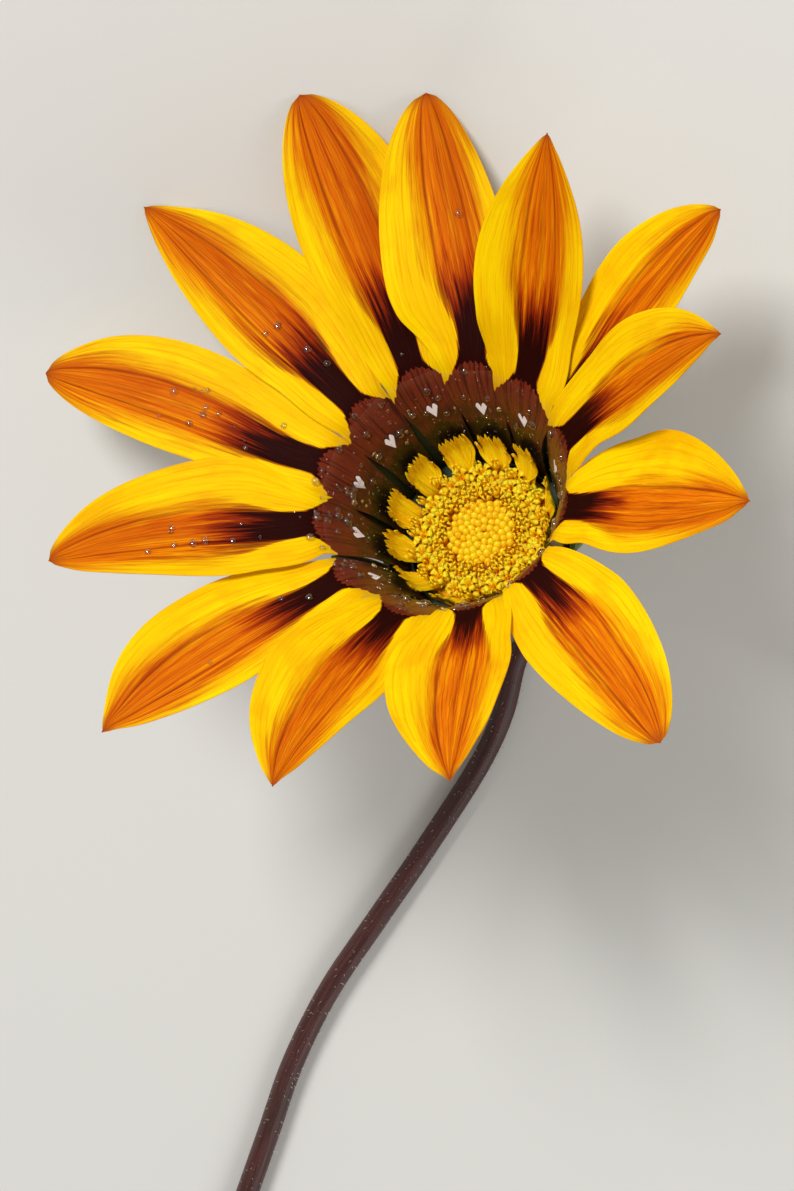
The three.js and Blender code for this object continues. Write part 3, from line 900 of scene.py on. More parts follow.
# (radius, height) of the rings up to the mouth, of the steps out along the lobes, and of the column inside
floretForms = {
    "open_floret": dict(
        mouth=[(0.25, -0.7), (0.27, 0.3), (0.33, 0.95), (0.42, 1.3)],
        lobe=[(0.62, 1.52), (0.86, 1.58), (1.04, 1.42), (1.06, 1.08)],
        column=[(0.1, 0.6), (0.13, 1.5), (0.17, 1.9), (0.13, 2.15), (0.04, 2.3)]),
    "tall_floret": dict(
        mouth=[(0.24, -0.7), (0.25, 0.5), (0.28, 1.3), (0.38, 1.75)],
        lobe=[(0.55, 2.05), (0.76, 2.16), (0.94, 2.02), (0.98, 1.66)],
        column=[(0.09, 0.6), (0.13, 1.9), (0.17, 2.3), (0.12, 2.55), (0.04, 2.7)]),
    "half_open_floret": dict(
        mouth=[(0.3, -0.7), (0.36, 0.3), (0.44, 0.9), (0.46, 1.15)],
        lobe=[(0.56, 1.4), (0.56, 1.68), (0.36, 1.88)],
        column=[(0.1, 0.9), (0.13, 1.5), (0.1, 1.65), (0.04, 1.75)]),
    "slim_floret": dict(
        mouth=[(0.2, -0.7), (0.22, 0.5), (0.26, 1.3), (0.32, 1.75)],
        lobe=[(0.42, 2.1), (0.46, 2.4), (0.36, 2.75)],
        column=[(0.08, 0.6), (0.1, 1.8), (0.12, 2.2), (0.04, 2.5)]),
}

# colours from the foot of a floret to its top, deep orange low down partly its own and partly painted shade
# between the florets, and the deeper one of some of them
floretColours = {
    "floret_yellow": (
        (0.0, paint(226, 104, 2)), (0.25, paint(238, 136, 2)), (0.6, paint(252, 190, 4)),
        (1.0, paint(255, 228, 36)), paint(240, 160, 4)),
    "bud_orange": (
        (0.0, paint(210, 104, 6)), (0.4, paint(228, 136, 8)), (0.7, paint(244, 186, 8)),
        (1.0, paint(255, 224, 40)), paint(236, 158, 8)),
}
goldenAngle = math.pi * (3 - math.sqrt(5))


def domeHeight(r):
    return disc["top"] - disc["rise"] * (r / disc["radius"]) ** 2


def lathe(profile, sides, name):
    # a profile of (radius, height) points, spun round the axis
    mesh = bpy.data.meshes.new(name)
    mesh.from_pydata([(r, 0, h) for r, h in profile], [(i, i + 1) for i in range(len(profile) - 1)], [])
    piece = bpy.data.objects.new(name, mesh)
    bpy.context.collection.objects.link(piece)
    editAll(piece)
    bpy.ops.mesh.spin(steps=sides, angle=2 * math.pi, center=(0, 0, 0), axis=(0, 0, 1))
    bpy.ops.mesh.select_all(action="SELECT")
    bpy.ops.mesh.remove_doubles(threshold=0.001)
    bpy.ops.mesh.normals_make_consistent(inside=False)
    bpy.ops.object.mode_set(mode="OBJECT")
    return piece


def ringUp(radius, height):
    # extrudes what is selected to a new ring of this radius and height; the ring is centred on the axis
    mesh = bmesh.from_edit_mesh(bpy.context.object.data)
    chosen = [v for v in mesh.verts if v.select]
    now = sum(math.hypot(v.co.x, v.co.y) for v in chosen) / len(chosen)
    level = sum(v.co.z for v in chosen) / len(chosen)
    bpy.ops.mesh.extrude_region_move(TRANSFORM_OT_translate={"value": (0, 0, height - level)})
    bpy.ops.transform.resize(value=(radius / now, radius / now, 1), center_override=(0, 0, 0))


def selectLobeRoots(level):
    # the edges of the mouth that lobes grow from; one edge between lobes stays free
    sides, perLobe = disc["tubeSides"], disc["sidesPerLobe"]
    mesh = bmesh.from_edit_mesh(bpy.context.object.data)
    for element in (*mesh.faces, *mesh.edges, *mesh.verts):
        element.select = False
    for edge in mesh.edges:
        a, b = edge.verts
        if abs(a.co.z - level) > 0.01 or abs(b.co.z - level) > 0.01:
            continue
        middle = (a.co + b.co) / 2
        turn = math.atan2(middle.y, middle.x) % (2 * math.pi) / (2 * math.pi) * sides
        if int(turn) % perLobe != perLobe - 1:
            edge.select = True
            a.select = b.select = True
    bmesh.update_edit_mesh(bpy.context.object.data)


def modelTube(mouth, lobe):
    # rings up to the mouth, then lobes that end in a point
    clearSelection()
    bpy.ops.mesh.primitive_circle_add(
        vertices=disc["tubeSides"], radius=mouth[0][0], location=(0, 0, 0), rotation=(0, 0, 0))
    tube = bpy.context.object
    tube.data.transform(Matrix.Translation((0, 0, mouth[0][1])))
    editAll(tube)
    for radius, height in mouth[1:]:
        ringUp(radius, height)
    selectLobeRoots(mouth[-1][1])
    for radius, height in lobe:
        ringUp(radius, height)
    bpy.ops.mesh.edge_collapse()
    bpy.ops.mesh.select_all(action="SELECT")
    bpy.ops.mesh.normals_make_consistent(inside=False)
    bpy.ops.object.mode_set(mode="OBJECT")
    addShell(tube, disc["wall"], 0)
    applyAll(tube)
    return tube


def modelColumn(steps):
    # a post whose top is drawn up through the steps
    clearSelection()
    bpy.ops.mesh.primitive_cylinder_add(
        vertices=7, radius=steps[0][0], depth=0.2, end_fill_type="NGON", location=(0, 0, 0))
    post = bpy.context.object
    post.data.transform(Matrix.Translation((0, 0, steps[0][1])))
    editAll(post)
    bpy.ops.mesh.select_all(action="DESELECT")
    mesh = bmesh.from_edit_mesh(post.data)
    highest = max(v.co.z for v in mesh.verts)
    for face in mesh.faces:
        if all(v.co.z > highest - 0.01 for v in face.verts):
            face.select_set(True)
    bmesh.update_edit_mesh(post.data)
    for radius, height in steps[1:]:
        ringUp(radius, height)
    bpy.ops.object.mode_set(mode="OBJECT")
    return post


def modelFloret(name):
    form = floretForms[name]
    model = joinAll([modelTube(form["mouth"], form["lobe"]), modelColumn(form["column"])], name)
    points = getPoints(model.data)
    above, (near, far) = disc["paleAbove"], disc["paleBeyond"]
    upward = (points[:, 2] - above) / (points[:, 2].max() - above)
    outward = (np.hypot(points[:, 0], points[:, 1]) - near) / (far - near)
    setPointValue(model.data, "rise", np.clip(np.maximum(upward, outward), 0, 1))
    bpy.ops.object.shade_smooth()
    return model


def modelBud():
    # a closed floret: an egg with shallow seams that meet at a small point
    clearSelection()
    radius = bud["radius"]
    bpy.ops.mesh.primitive_uv_sphere_add(segments=15, ring_count=10, radius=radius)
    piece = bpy.context.object
    points = getPoints(piece.data)
    turn = np.arctan2(points[:, 1], points[:, 0])
    around = np.hypot(points[:, 0], points[:, 1])
    seams = 0.5 + 0.5 * np.cos(bud["seams"] * turn)
    seam = bud["girth"] - bud["seamDepth"] * np.clip(points[:, 2] / radius + 0.35, 0, 1) * seams
    points[:, :2] *= seam[:, None]
    upper, lower = bud["stretch"]
    pointed = points[:, 2] * upper + bud["point"] * np.clip(1 - around / (radius / 2), 0, 1)
    points[:, 2] = np.where(points[:, 2] > 0, pointed, points[:, 2] * lower) + bud["middle"]
    setPoints(piece.data, points)
    setPointValue(piece.data, "rise", np.clip((points[:, 2] - 0.1) / 1.2, 0, 1))
    bpy.ops.object.shade_smooth()
    return piece


def modelStyle():
    # a thin style with a forked tip
    clearSelection()
    bpy.ops.mesh.primitive_cylinder_add(
        vertices=6, radius=style["radius"], depth=style["length"], location=(0, 0, style["middle"]))
    parts = [bpy.context.object]
    thick, thin = style["prongRadii"]
    aside, height = style["prongAt"]
    for way in (-1, 1):
        bpy.ops.mesh.primitive_cone_add(
            vertices=6, radius1=thick, radius2=thin, depth=style["prongLength"],
            location=(aside * way, 0, height), rotation=(0, style["prongLean"] * way, 0))
        parts.append(bpy.context.object)
    for part in parts:
        makeActive(part)
        bpy.ops.object.transform_apply(location=True, rotation=True, scale=True)
    model = joinAll(parts, "style")
    heights = getPoints(model.data)[:, 2]
    setPointValue(model.data, "rise", np.clip((heights + 0.2) / 2.6, 0, 1))
    smoothUnder(50)
    return model


def plant(name):
    # copies on a spiral of golden angles, each with its own size, turn and lean
    crowd, model = crowds[name], models[name]
    inner, outer = crowd["ring"]
    spread = crowd["spread"]
    chance = random.Random(crowd["seed"])
    made = []
    for i in range(crowd["count"]):
        r = math.sqrt(inner ** 2 + (outer ** 2 - inner ** 2) * (i + 0.5) / crowd["count"])
        out = r / disc["radius"]
        lean = crowd["lean"] * out ** 2 + chance.uniform(-spread, spread)
        size = chance.uniform(*disc["sizes"])
        tall = chance.uniform(*disc["heights"]) * (1 + crowd.get("climb", 0) * (out - disc["climbFrom"]))
        matrix = (
            Matrix.Rotation(i * goldenAngle + crowd["turn"], 4, "Z")
            @ Matrix.Translation((r, 0, domeHeight(r)))
            @ Matrix.Rotation(math.radians(lean), 4, "Y")
            @ Matrix.Rotation(math.radians(chance.uniform(-spread, spread)), 4, "X")
            @ Matrix.Rotation(i * 1.3 + chance.uniform(-0.5, 0.5), 4, "Z")
            @ Matrix.Diagonal((size, size, tall, 1))
        )
        twin = copyOf(model, matrix)
        setPointValue(twin.data, "tint", chance.random())
        made.append(twin)
    return made


def layGround(name, profile, sides, level):
    # what the florets stand on, coloured as they are at this level
    ground = lathe(profile, sides, name)
    setPointValue(ground.data, "rise", level)
    setPointValue(ground.data, "tint", disc["groundTint"])
    return ground


def floretMaterial(name):
    *stops, deep = floretColours[name]
    material, shader = newMaterial(name, **{
        "Roughness": 0.45, "Specular IOR Level": 0.2, "Subsurface Weight": 0.5, "Subsurface Scale": 0.0008})
    shader.inputs["Subsurface Radius"].default_value = (1.0, 0.7, 0.1)
    level, tint = pointValue("rise"), pointValue("tint")
    mottle = grain(objectPlace(), 2.2, 3)
    varied = tinge(rampColour(level, stops), deep, tint, 0.45, 1.0, 0.4)
    colour = tinge(varied, deep, mottle, 0.5, 0.75, 0.3)
    colourBy(shader, colour)
    addBump(shader, mottle, 0.3, 0.0001)
    return material


models = {name: modelFloret(name) for name in floretForms}
models["style"] = modelStyle()
models["bud"] = modelBud()

zone, under, rim = disc["budZone"], disc["underside"], disc["radius"]
inside = zone - disc["coreGap"]
packed = [(r, domeHeight(r) + disc["packing"]) for r in disc["packedAt"]]
core = layGround("disc_core", [
    (inside, under), (rim, under), (rim, domeHeight(rim) - 0.1), *packed,
    (inside, domeHeight(zone) - 0.1), (inside, under)], sides=56, level=0.4)
standing = [core]
for name in ("open_floret", "tall_floret", "slim_floret", "half_open_floret", "style"):
    standing += plant(name)
openDisc = joinAll(standing, "open_florets")
dress(openDisc, floretMaterial("floret_yellow"))
settle(openDisc, "disc_florets")

inside = zone - disc["plugGap"]
domed = [(r, domeHeight(r) - disc["plugGap"]) for r in (zone, *disc["budGroundAt"], 0)]
plug = layGround("bud_core", [
    (0, under), (inside, under), (inside, domed[0][1]), *domed[1:]], sides=40, level=0.0)
budDisc = joinAll([plug, *plant("bud")], "closed_buds")
dress(budDisc, floretMaterial("bud_orange"))
settle(budDisc, "disc_buds")
for model in models.values():
    discard(model)
print("disc:", crowds["open_floret"]["count"], "open florets,", crowds["bud"]["count"], "buds")


# cup of bracts behind the rays

cup = {
    "sides": 88,
    "profile": [
        (0, -12.0), (1.7, -12.0), (2.3, -11.2), (3.6, -9.4), (5.6, -6.6), (8.0, -3.8), (10.0, -1.2),
        (11.0, 1.0), (11.4, 3.0), (10.8, 3.0), (10.5, 0.2), (8.8, 0.2), (8.8, -1.25), (0, -1.25),
    ],
    "ribs": 14,
    "ribHeight": 0.16,
    "innerFoot": 1.6,        # height where the bracts between the claws come free
    "innerTop": 13.6,
    "innerWidth": 2.6,
    "innerThickness": 0.45,
    "clear": 0.85,           # how far they stand behind the claws
    "crowdedWithin": 14,     # degrees from the ray that stands further out; a bract there
    "movedTo": 10,           # moves this far to its side
    "outerBracts": 14,
    "outerFoot": (9.1, -1.6),
    "outerReach": 3.6,
    "outerLength": 4.2,
    "outerWidth": 3.0,
    "outerThickness": 0.5,
    "green": (paint(62, 84, 38), paint(98, 120, 58)),
    # green of the painted shade inside the cup and between the claws
    "shadeGreen": paint(30, 46, 26),
    "margin": paint(112, 126, 78),
    "tip": paint(96, 88, 50),
}


def shapeLeaf(name, rows, place, thickness, paintedShade):
    # a thin leaf from a grid, whose points place(x, v) gives
    piece, x, v = newGrid(8, rows)
    setPoints(piece.data, place(x, v))
    setPointValue(piece.data, "across", x)
    setPointValue(piece.data, "along", v)
    setPointValue(piece.data, "paintedShade", paintedShade)
    addShell(piece, thickness, 1)
    applyAll(piece)
    smoothUnder(50)
    piece.name = name
    return piece


def innerBractPlace(x, v):
    # follows the backs of the claws
    h = cup["innerFoot"] + (cup["innerTop"] - cup["innerFoot"]) * v
    place, along = rayMidline(dict(length=30, lift=30, turn=0, sweep=0))[1:3]
    back = np.interp(h, place[:, 2], place[:, 0] + along[:, 2] * petals["clawThickness"])
    half = np.maximum(cup["innerWidth"] / 2 * (1 - v ** 2) ** 0.8, 0.03)
    return np.stack([back + cup["clear"] + 0.12 * x ** 2, half * x, h], axis=1)


def outerBractPlace(x, v):
    radius, height = cup["outerFoot"]
    reach = radius + cup["outerReach"] * v + 0.3 * x ** 2
    h = height + cup["outerLength"] * v ** 1.3
    half = np.maximum(cup["outerWidth"] / 2 * (1 - v ** 1.7), 0.06)
    return np.stack([reach, half * x, h], axis=1)


def shapeCupWall():
    # ribbed outside, plain inside
    wall = lathe(cup["profile"], cup["sides"], "cup_wall")
    points = getPoints(wall.data)
    turn = np.arctan2(points[:, 1], points[:, 0])
    around, level = np.hypot(points[:, 0], points[:, 1]), points[:, 2]
    outside = eased(around, 2.0, 5.0) * (level < 2.9) * (around > 10.9 * (level > -1.3))
    ribs = np.cos(cup["ribs"] * turn)
    swell = 1 + cup["ribHeight"] / np.maximum(around, 1) * ribs * outside
    points[:, :2] *= swell[:, None]
    setPoints(wall.data, points)
    setPointValue(wall.data, "across", ribs * 0.7 * outside)
    setPointValue(wall.data, "along", 0)
    # painted shade inside the cup, below the claws
    setPointValue(wall.data, "paintedShade", (around < 10.6) * (level > -1.4))
    makeActive(wall)
    smoothUnder(40)
    return wall


def bractMaterial():
    material, shader = newMaterial("bract_green", **{"Roughness": 0.6, "Specular IOR Level": 0.3})
    across, along, paintedShade = (pointValue(value) for value in ("across", "along", "paintedShade"))
    place = objectPlace()
    mottle = grain(place, 0.9, 4)
    fine = grain(place, 6, 2)
    green = tinge(*cup["green"], mottle, 0.35, 0.65)
    # painted shade: darker green inside the cup and in the gaps between claws
    deep = blendColour(paintedShade, green, cup["shadeGreen"])          # darker in the gaps between claws
    pale = tinge(deep, cup["margin"], maths("ABSOLUTE", across), 0.6, 0.98)
    tipped = tinge(pale, cup["tip"], along, 0.75, 1.0, 0.7)
    colourBy(shader, tipped)
    addBump(shader, add(mottle, mul(fine, 0.4)), 0.35, 0.0002)
    return material


leaves = [shapeCupWall()]
innerModel = shapeLeaf("inner_bract", 24, innerBractPlace, cup["innerThickness"], 1.0)
outerModel = shapeLeaf("outer_bract", 14, outerBractPlace, cup["outerThickness"], 0.0)
order = sorted(ray["azimuth"] for ray in rays.values() if not ray.get("outward"))
apart = next(ray["azimuth"] for ray in rays.values() if ray.get("outward"))
for here, following in zip(order, order[1:] + [order[0] + 360]):
    between = (here + following) / 2
    if abs(between - apart) < cup["crowdedWithin"]:
        between = apart + cup["movedTo"]
    leaves.append(copyOf(innerModel, Matrix.Rotation(math.radians(between), 4, "Z")))
for i in range(cup["outerBracts"]):
    leaves.append(copyOf(outerModel, Matrix.Rotation(2 * math.pi * i / cup["outerBracts"], 4, "Z")))
discard(innerModel)
discard(outerModel)
bracts = joinAll(leaves, "cup_of_bracts")
dress(bracts, bractMaterial())
settle(bracts, "involucre")
print("cup of bracts:", len(leaves) - 1, "bracts")


# stem

stem = {
    "cupDepth": 12.0,
    "gap": 0.3,                 # below the cup
    "neck": 2.2,                # how far it runs straight on from the cup
    "radiusTop": 1.3,
    "radiusCut": 1.55,
    "facet": math.cos(math.pi / 10),
    "laid": [                   # across and along from below the disc's centre
        (3.8, -15.6), (3.0, -18.6), (1.5, -22.4), (-0.2, -29.2), (-2.7, -35.2), (-9.9, -47.6),
        (-16.4, -58.0), (-22.8, -68.4), (-27.8, -79.0), (-31.5, -89.6), (-34.8, -99.0), (-38.2, -108.6),
        (-41.8, -118.4),
    ],
    "laidHeights": (1.75, 1.35),    # of the first of these points and of the others
    "flatFrom": (0.08, 0.12),   # share of its length over which it comes to lie on the surface
    "rings": 170,
    "sides": 28,
    "ribs": 9,
    "ribDepth": 0.02,
    "cutRims": ((0.35, 0), (0.3, -0.12)),   # insets of the cut end: width and depth
    "hairs": 420,
    "hairLengths": (0.25, 0.7),
    "hairRadii": (0.035, 0.004),
    "hairSpread": 2.1,          # radians to either side of the top; none grow underneath
    "hairSlant": (-0.7, 0.2),   # along the stem
    "hairSway": 0.3,            # to the side
    "hairSunk": 0.03,
    "brown": (paint(58, 26, 24), paint(82, 44, 40)),
    "blotch": paint(56, 34, 26),
    "speck": paint(132, 98, 90),
    "neckBrown": paint(48, 24, 20),
    "pith": (paint(176, 178, 118), paint(140, 150, 86)),
    "hair": (paint(176, 150, 140), paint(222, 208, 196)),
}


def catmullRom(points, perSpan):
    # centripetal: spans are timed by the square root of their length
    points = [np.array(p, dtype=float) for p in points]
    ends = [2 * points[0] - points[1], *points, 2 * points[-1] - points[-2]]
    made = []
    for i in range(1, len(ends) - 2):
        p0, p1, p2, p3 = ends[i - 1:i + 3]
        d0, d1, d2 = (np.linalg.norm(b - a) ** 0.5 for a, b in ((p0, p1), (p1, p2), (p2, p3)))
        out = ((p1 - p0) / d0 - (p2 - p0) / (d0 + d1) + (p2 - p1) / d1) * d1
        into = ((p2 - p1) / d1 - (p3 - p1) / (d1 + d2) + (p3 - p2) / d2) * d1
        for k in range(perSpan):
            t = k / perSpan
            made.append((2 * t ** 3 - 3 * t ** 2 + 1) * p1 + (t ** 3 - 2 * t ** 2 + t) * out
                        + (-2 * t ** 3 + 3 * t ** 2) * p2 + (t ** 3 - t ** 2) * into)
    made.append(points[-1])
    return np.array(made)


def stemLine():
    # points along the middle of the stem, its radius there, and its length
    lean, toward = math.radians(head["lean"]), math.radians(head["toward"])
    axis = np.array([math.sin(lean) * math.cos(toward), math.sin(lean) * math.sin(toward), math.cos(lean)])
    base = np.array([0, 0, head["height"]]) - axis * (stem["cupDepth"] + stem["gap"])
    first, others = stem["laidHeights"]
    laid = [(x, y, first if i == 0 else others) for i, (x, y) in enumerate(stem["laid"])]
    fine = catmullRom([base, base - axis * stem["neck"], *laid], 60)
    run = np.concatenate([[0], np.cumsum(np.linalg.norm(np.diff(fine, axis=0), axis=1))])
    t = np.linspace(0, 1, stem["rings"] + 1)
    line = np.stack([np.interp(t * run[-1], run, fine[:, k]) for k in range(3)], axis=1)
    radius = (stem["radiusTop"] + (stem["radiusCut"] - stem["radiusTop"]) * t) * stem["facet"]
    line[:, 2] += (radius - line[:, 2]) * eased(t, *stem["flatFrom"])
    line[:, :2] += np.array(head["foot"])
    return line, radius, run[-1]


def stemAxes(line):
    # along the stem, to its side and away from the surface
    heading = np.gradient(line, axis=0)
    heading /= np.linalg.norm(heading, axis=1)[:, None]
    side = np.cross(heading, (0, 0, 1))
    side /= np.linalg.norm(side, axis=1)[:, None]
    return heading, side, np.cross(side, heading)


def shapeStalk():
    clearSelection()
    track = bpy.data.curves.new("stem_track", "CURVE")
    track.dimensions = "3D"
    track.twist_mode = "Z_UP"
    track.bevel_depth = 1.0
    track.bevel_resolution = stem["sides"] // 4
    track.use_fill_caps = True
    spline = track.splines.new("POLY")
    spline.points.add(len(line) - 1)
    for point, place, thick in zip(spline.points, line, radius):
        point.co = (*place, 1)
        point.radius = thick
    curve = bpy.data.objects.new("stalk", track)
    bpy.context.collection.objects.link(curve)
    makeActive(curve)
    bpy.ops.object.convert(target="MESH")
    stalk = bpy.context.object
    stalk.name = "stalk"
    return stalk


def ribStalk(stalk):
    # faint ribs, cut into the round
    points = getPoints(stalk.data)
    nearest = np.array([np.argmin(((line - p) ** 2).sum(axis=1)) for p in points])
    away = points - line[nearest]
    turn = np.arctan2((away * side[nearest]).sum(axis=1), (away * above[nearest]).sum(axis=1))
    rib = 1 - stem["ribDepth"] * (1 - np.cos(stem["ribs"] * turn))
    setPoints(stalk.data, line[nearest] + away * rib[:, None])
    setPointValue(stalk.data, "turn", turn)
    setPointValue(stalk.data, "along", nearest * stemLength / stem["rings"])


def cutStalk(stalk):
    # a skin and a sunken pith at the ends
    editAll(stalk)
    bpy.ops.mesh.remove_doubles(threshold=0.001)
    bpy.ops.mesh.select_all(action="DESELECT")
    mesh = bmesh.from_edit_mesh(stalk.data)
    for face in mesh.faces:
        face.select = len(face.verts) > 4
    bmesh.update_edit_mesh(stalk.data)
    for width, depth in stem["cutRims"]:
        bpy.ops.mesh.inset(thickness=width, depth=depth)
    bpy.ops.object.mode_set(mode="OBJECT")
    points = getPoints(stalk.data)
    endDistance = (points - line[-1]) @ heading[-1]
    offAxis = np.linalg.norm(points - line[-1] - endDistance[:, None] * heading[-1], axis=1)
    setPointValue(stalk.data, "cut", (np.abs(endDistance) < 0.5) * (offAxis < radius[-1] - 0.2))
    smoothUnder(50)


def growHairs():
    # fine hairs, rooted in the stem
    chance = random.Random(21)
    clearSelection()
    thick, thin = stem["hairRadii"]
    bpy.ops.mesh.primitive_cone_add(vertices=4, radius1=thick, radius2=thin, depth=1.0, location=(0, 0, 0))
    model = bpy.context.object
    model.data.transform(Matrix.Translation((0, 0, 0.42)))
    hairs = []
    for i in range(stem["hairs"]):
        k = chance.randrange(4, stem["rings"] - 2)
        angle = chance.uniform(-stem["hairSpread"], stem["hairSpread"])
        outwards = Vector(side[k]) * math.sin(angle) + Vector(above[k]) * math.cos(angle)
        slant = outwards + Vector(heading[k]) * chance.uniform(*stem["hairSlant"])
        slant = (slant + Vector(side[k]) * chance.uniform(-stem["hairSway"], stem["hairSway"])).normalized()
        length = chance.uniform(*stem["hairLengths"])
        root = Matrix.Translation(Vector(line[k]) + outwards * (radius[k] - stem["hairSunk"]))
        hairs.append(copyOf(model, root @ facing(slant) @ Matrix.Diagonal((1, 1, length, 1))))
    discard(model)
    return joinAll(hairs, "stem_hairs")


def stemMaterial():
    material, shader = newMaterial("stem_purple", **{
        "Roughness": 0.45, "Specular IOR Level": 0.35, "Subsurface Weight": 0.05,
        "Subsurface Scale": 0.0008})
    turn, along, cut = (pointValue(value) for value in ("turn", "along", "cut"))
    across, upwards = (mul(maths(operation, turn), 4) for operation in ("SINE", "COSINE"))
    lines = grain(vectorOf(across, upwards, mul(along, 0.12)), 1.2, 3)
    place = objectPlace()
    blotches = grain(place, 0.16, 3)
    specks = grain(place, 4.5, 2)
    base = tinge(*stem["brown"], lines, 0.35, 0.68)
    varied = tinge(base, stem["blotch"], blotches, 0.4, 0.7, 0.5)
    dotted = tinge(varied, stem["speck"], specks, 0.66, 0.74, 0.4)
    necked = tinge(dotted, stem["neckBrown"], along, 14.0, 3.0)
    pith = tinge(*stem["pith"], specks, 0.4, 0.7)
    colourBy(shader, blendColour(cut, necked, pith))
    addBump(shader, add(lines, mul(specks, 0.2)), 0.35, 0.0002)
    return material


def hairMaterial():
    material, shader = newMaterial("hair_pale", **{"Roughness": 0.6})
    tint = grain(objectPlace(), 0.8, 2)
    colourBy(shader, blendColour(tint, *stem["hair"]))
    return material


line, radius, stemLength = stemLine()
heading, side, above = stemAxes(line)
stalk = shapeStalk()
ribStalk(stalk)
cutStalk(stalk)
dress(stalk, stemMaterial())
settle(stalk, "stem", onHead=False)
hairCoat = growHairs()
dress(hairCoat, hairMaterial())
settle(hairCoat, onHead=False)
print("stem:", round(stemLength, 1), "mm,", stem["hairs"], "hairs")


# dew on the rays

dew = {
    # how many beads on each ray's claw, and on its limb
    "claw": {"ray_13": 12, "ray_12": 18, "ray_11": 16, "ray_10": 14, "ray_01": 8, "ray_02": 6, "ray_03": 6,
             "ray_05": 5, "ray_06": 8, "ray_07": 10, "ray_08": 10, "ray_09": 10},
    "limb": {"ray_13": 4, "ray_12": 14, "ray_11": 12, "ray_10": 3, "ray_01": 2, "ray_02": 2},
    "sizes": (0.18, 0.55),       # radius, mm
    "sparkles": 14,              # the smallest ones, on each claw
    "sparkleSizes": (0.05, 0.12),
    "clawZone": ((8.5, 16.5), 0.85),        # along the ray, and how far across as a share of its half width
    "sparkleZone": ((6.0, 10.0), 0.95),
    "limbZone": ((17.0, 36.0), 0.5),
    "flattened": (0.25, 0.75),   # below and above a bead's middle
    "oblong": (0.85, 1.2),
    "mostlySmall": 1.8,
    "sunk": 0.05,                # share of a bead's radius
    "sunkOnLimb": 0.17,          # share of the limb's thickness
}
dewChance = random.Random(5)


def modelBead():
    clearSelection()
    bpy.ops.mesh.primitive_ico_sphere_add(subdivisions=3, radius=1)
    model = bpy.context.object
    points = getPoints(model.data)
    lower, upper = dew["flattened"]
    points[:, 2] *= np.where(points[:, 2] < 0, lower, upper)
    setPoints(model.data, points)
    bpy.ops.object.shade_smooth()
    return model


def layBeads(name, count, zone, sizes):
    ray = rays[name]
    reach, spread = zone
    small, large = sizes
    laid = []
    for i in range(count):
        s = np.array([dewChance.uniform(*reach)])
        q = np.array([dewChance.uniform(-spread, spread)])
        place, normal = rayFace(ray, s, q)[:2]
        size = small + (large - small) * dewChance.random() ** dew["mostlySmall"]
        onLimb = np.clip(s[0] / petals["clawLength"], 0, 1)
        sunk = petals["limbThickness"] * dew["sunkOnLimb"] * onLimb + size * dew["sunk"]
        normal = Vector(normal[0])
        laid.append(copyOf(beadModel, (
            Matrix.Rotation(math.radians(ray["azimuth"]), 4, "Z")
            @ Matrix.Translation(Vector(place[0]) - normal * sunk)
            @ facing(normal)
            @ Matrix.Diagonal((size, size * dewChance.uniform(*dew["oblong"]), size, 1))
        )))
    return laid


beadModel = modelBead()
beads = []
for name, count in dew["claw"].items():
    beads += layBeads(name, count, dew["clawZone"], dew["sizes"])
    beads += layBeads(name, dew["sparkles"], dew["sparkleZone"], dew["sparkleSizes"])
for name, count in dew["limb"].items():
    beads += layBeads(name, count, dew["limbZone"], dew["sizes"])
discard(beadModel)
dewBeads = joinAll(beads, "dew_beads")
dress(dewBeads, newMaterial("dew_water", **{
    "Base Color": (1, 1, 1, 1), "Transmission Weight": 1.0, "IOR": 1.333, "Roughness": 0.02,
    "Coat Weight": 1.0, "Coat IOR": 1.8, "Coat Roughness": 0.04})[0])
settle(dewBeads)
print("dew:", len(beads), "beads")


# floor, light and camera

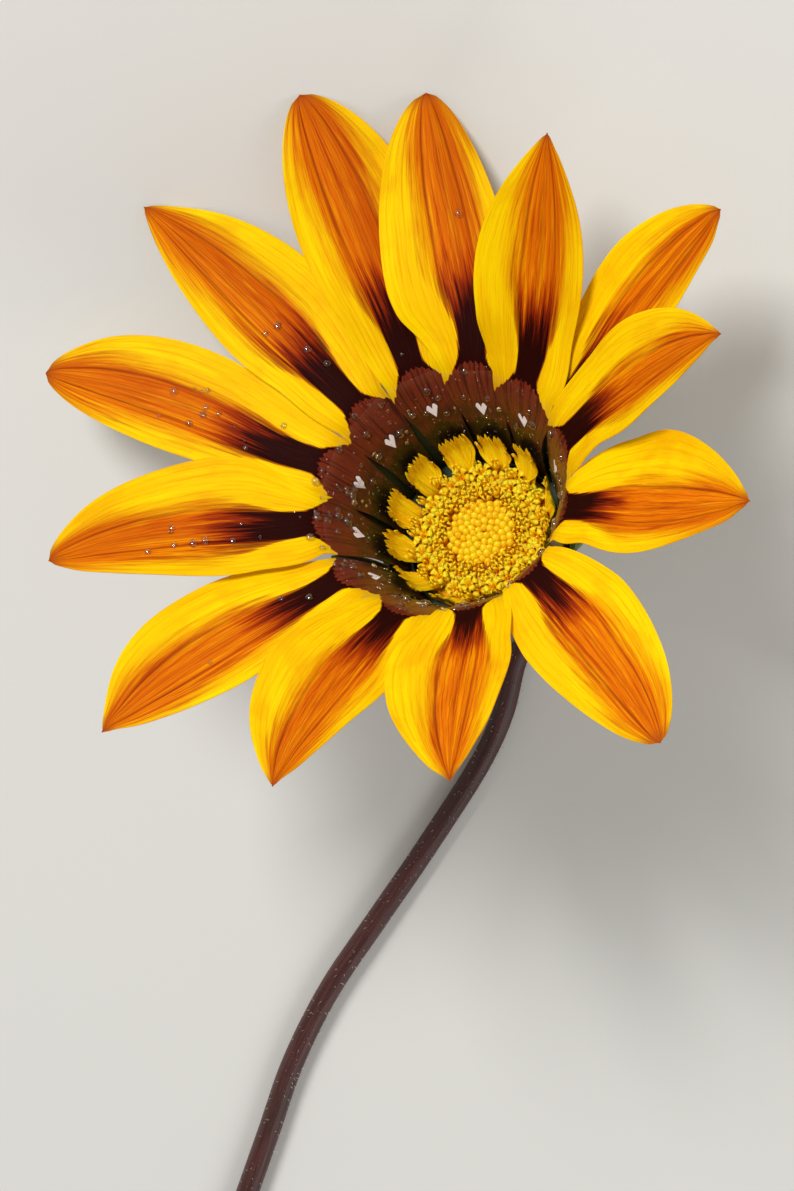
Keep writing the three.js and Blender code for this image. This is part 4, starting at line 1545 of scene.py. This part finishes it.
studio = {
    "floorSize": 3.0,
    "floorColour": paint(216, 214, 209),
    "worldColour": (1.0, 0.99, 0.97, 1),
    "worldStrength": 0.34,
    "aim": 6,                    # mm above the disc's foot, along the head's axis
    "key": {"place": (-0.42, 1.24, 1.04), "size": 0.46, "power": 23.5},
    "fill": {"place": (0.7, -0.8, 0.9), "size": 0.9, "power": 6.5},
}
clearSelection()
bpy.ops.mesh.primitive_plane_add(size=studio["floorSize"], location=(0, 0, 0))
floor = bpy.context.object
floor.name = "floor"
dress(floor, newMaterial("floor_pale", **{"Base Color": studio["floorColour"], "Roughness": 0.8})[0])

world = bpy.data.worlds.new("studio")
bpy.context.scene.world = world
world.use_nodes = True
background = world.node_tree.nodes["Background"]
background.inputs["Color"].default_value = studio["worldColour"]
background.inputs["Strength"].default_value = studio["worldStrength"]

aim = Vector((headMatrix @ Vector((0, 0, studio["aim"]))) * 0.001)
for name in ("key", "fill"):
    given = studio[name]
    lamp = bpy.data.lights.new(name, "AREA")
    lamp.shape = "DISK"
    lamp.size = given["size"]
    lamp.energy = given["power"]
    light = bpy.data.objects.new(name, lamp)
    light.location = given["place"]
    light.rotation_euler = (aim - Vector(given["place"])).to_track_quat("-Z", "Y").to_euler()
    bpy.context.collection.objects.link(light)

photoView = {
    "right": (0.9946, -0.0502, -0.0885),
    "up": (0.0, 0.8698, -0.4935),
    "toward": (0.1018, 0.4908, 0.8651),     # from the flower to the camera
    "offset": (-10.01, -6.105, 480.0),      # from the disc's centre along the three, mm
    "lens": 131.9,
}
directions = [Vector(photoView[name]) for name in ("right", "up", "toward")]
eye = Vector((*head["foot"], head["height"]))
for direction, distance in zip(directions, photoView["offset"]):
    eye += direction * distance
cameraData = bpy.data.cameras.new("camera")
cameraData.lens = photoView["lens"]
cameraData.sensor_width = 36
cameraData.clip_start = 0.01
camera = bpy.data.objects.new("camera", cameraData)
columns = [(*direction, 0) for direction in directions] + [(*eye * 0.001, 1)]
camera.matrix_world = Matrix(columns).transposed()
bpy.context.collection.objects.link(camera)
bpy.context.scene.camera = camera
bpy.context.scene.view_settings.view_transform = "Standard"

print("scene ready")
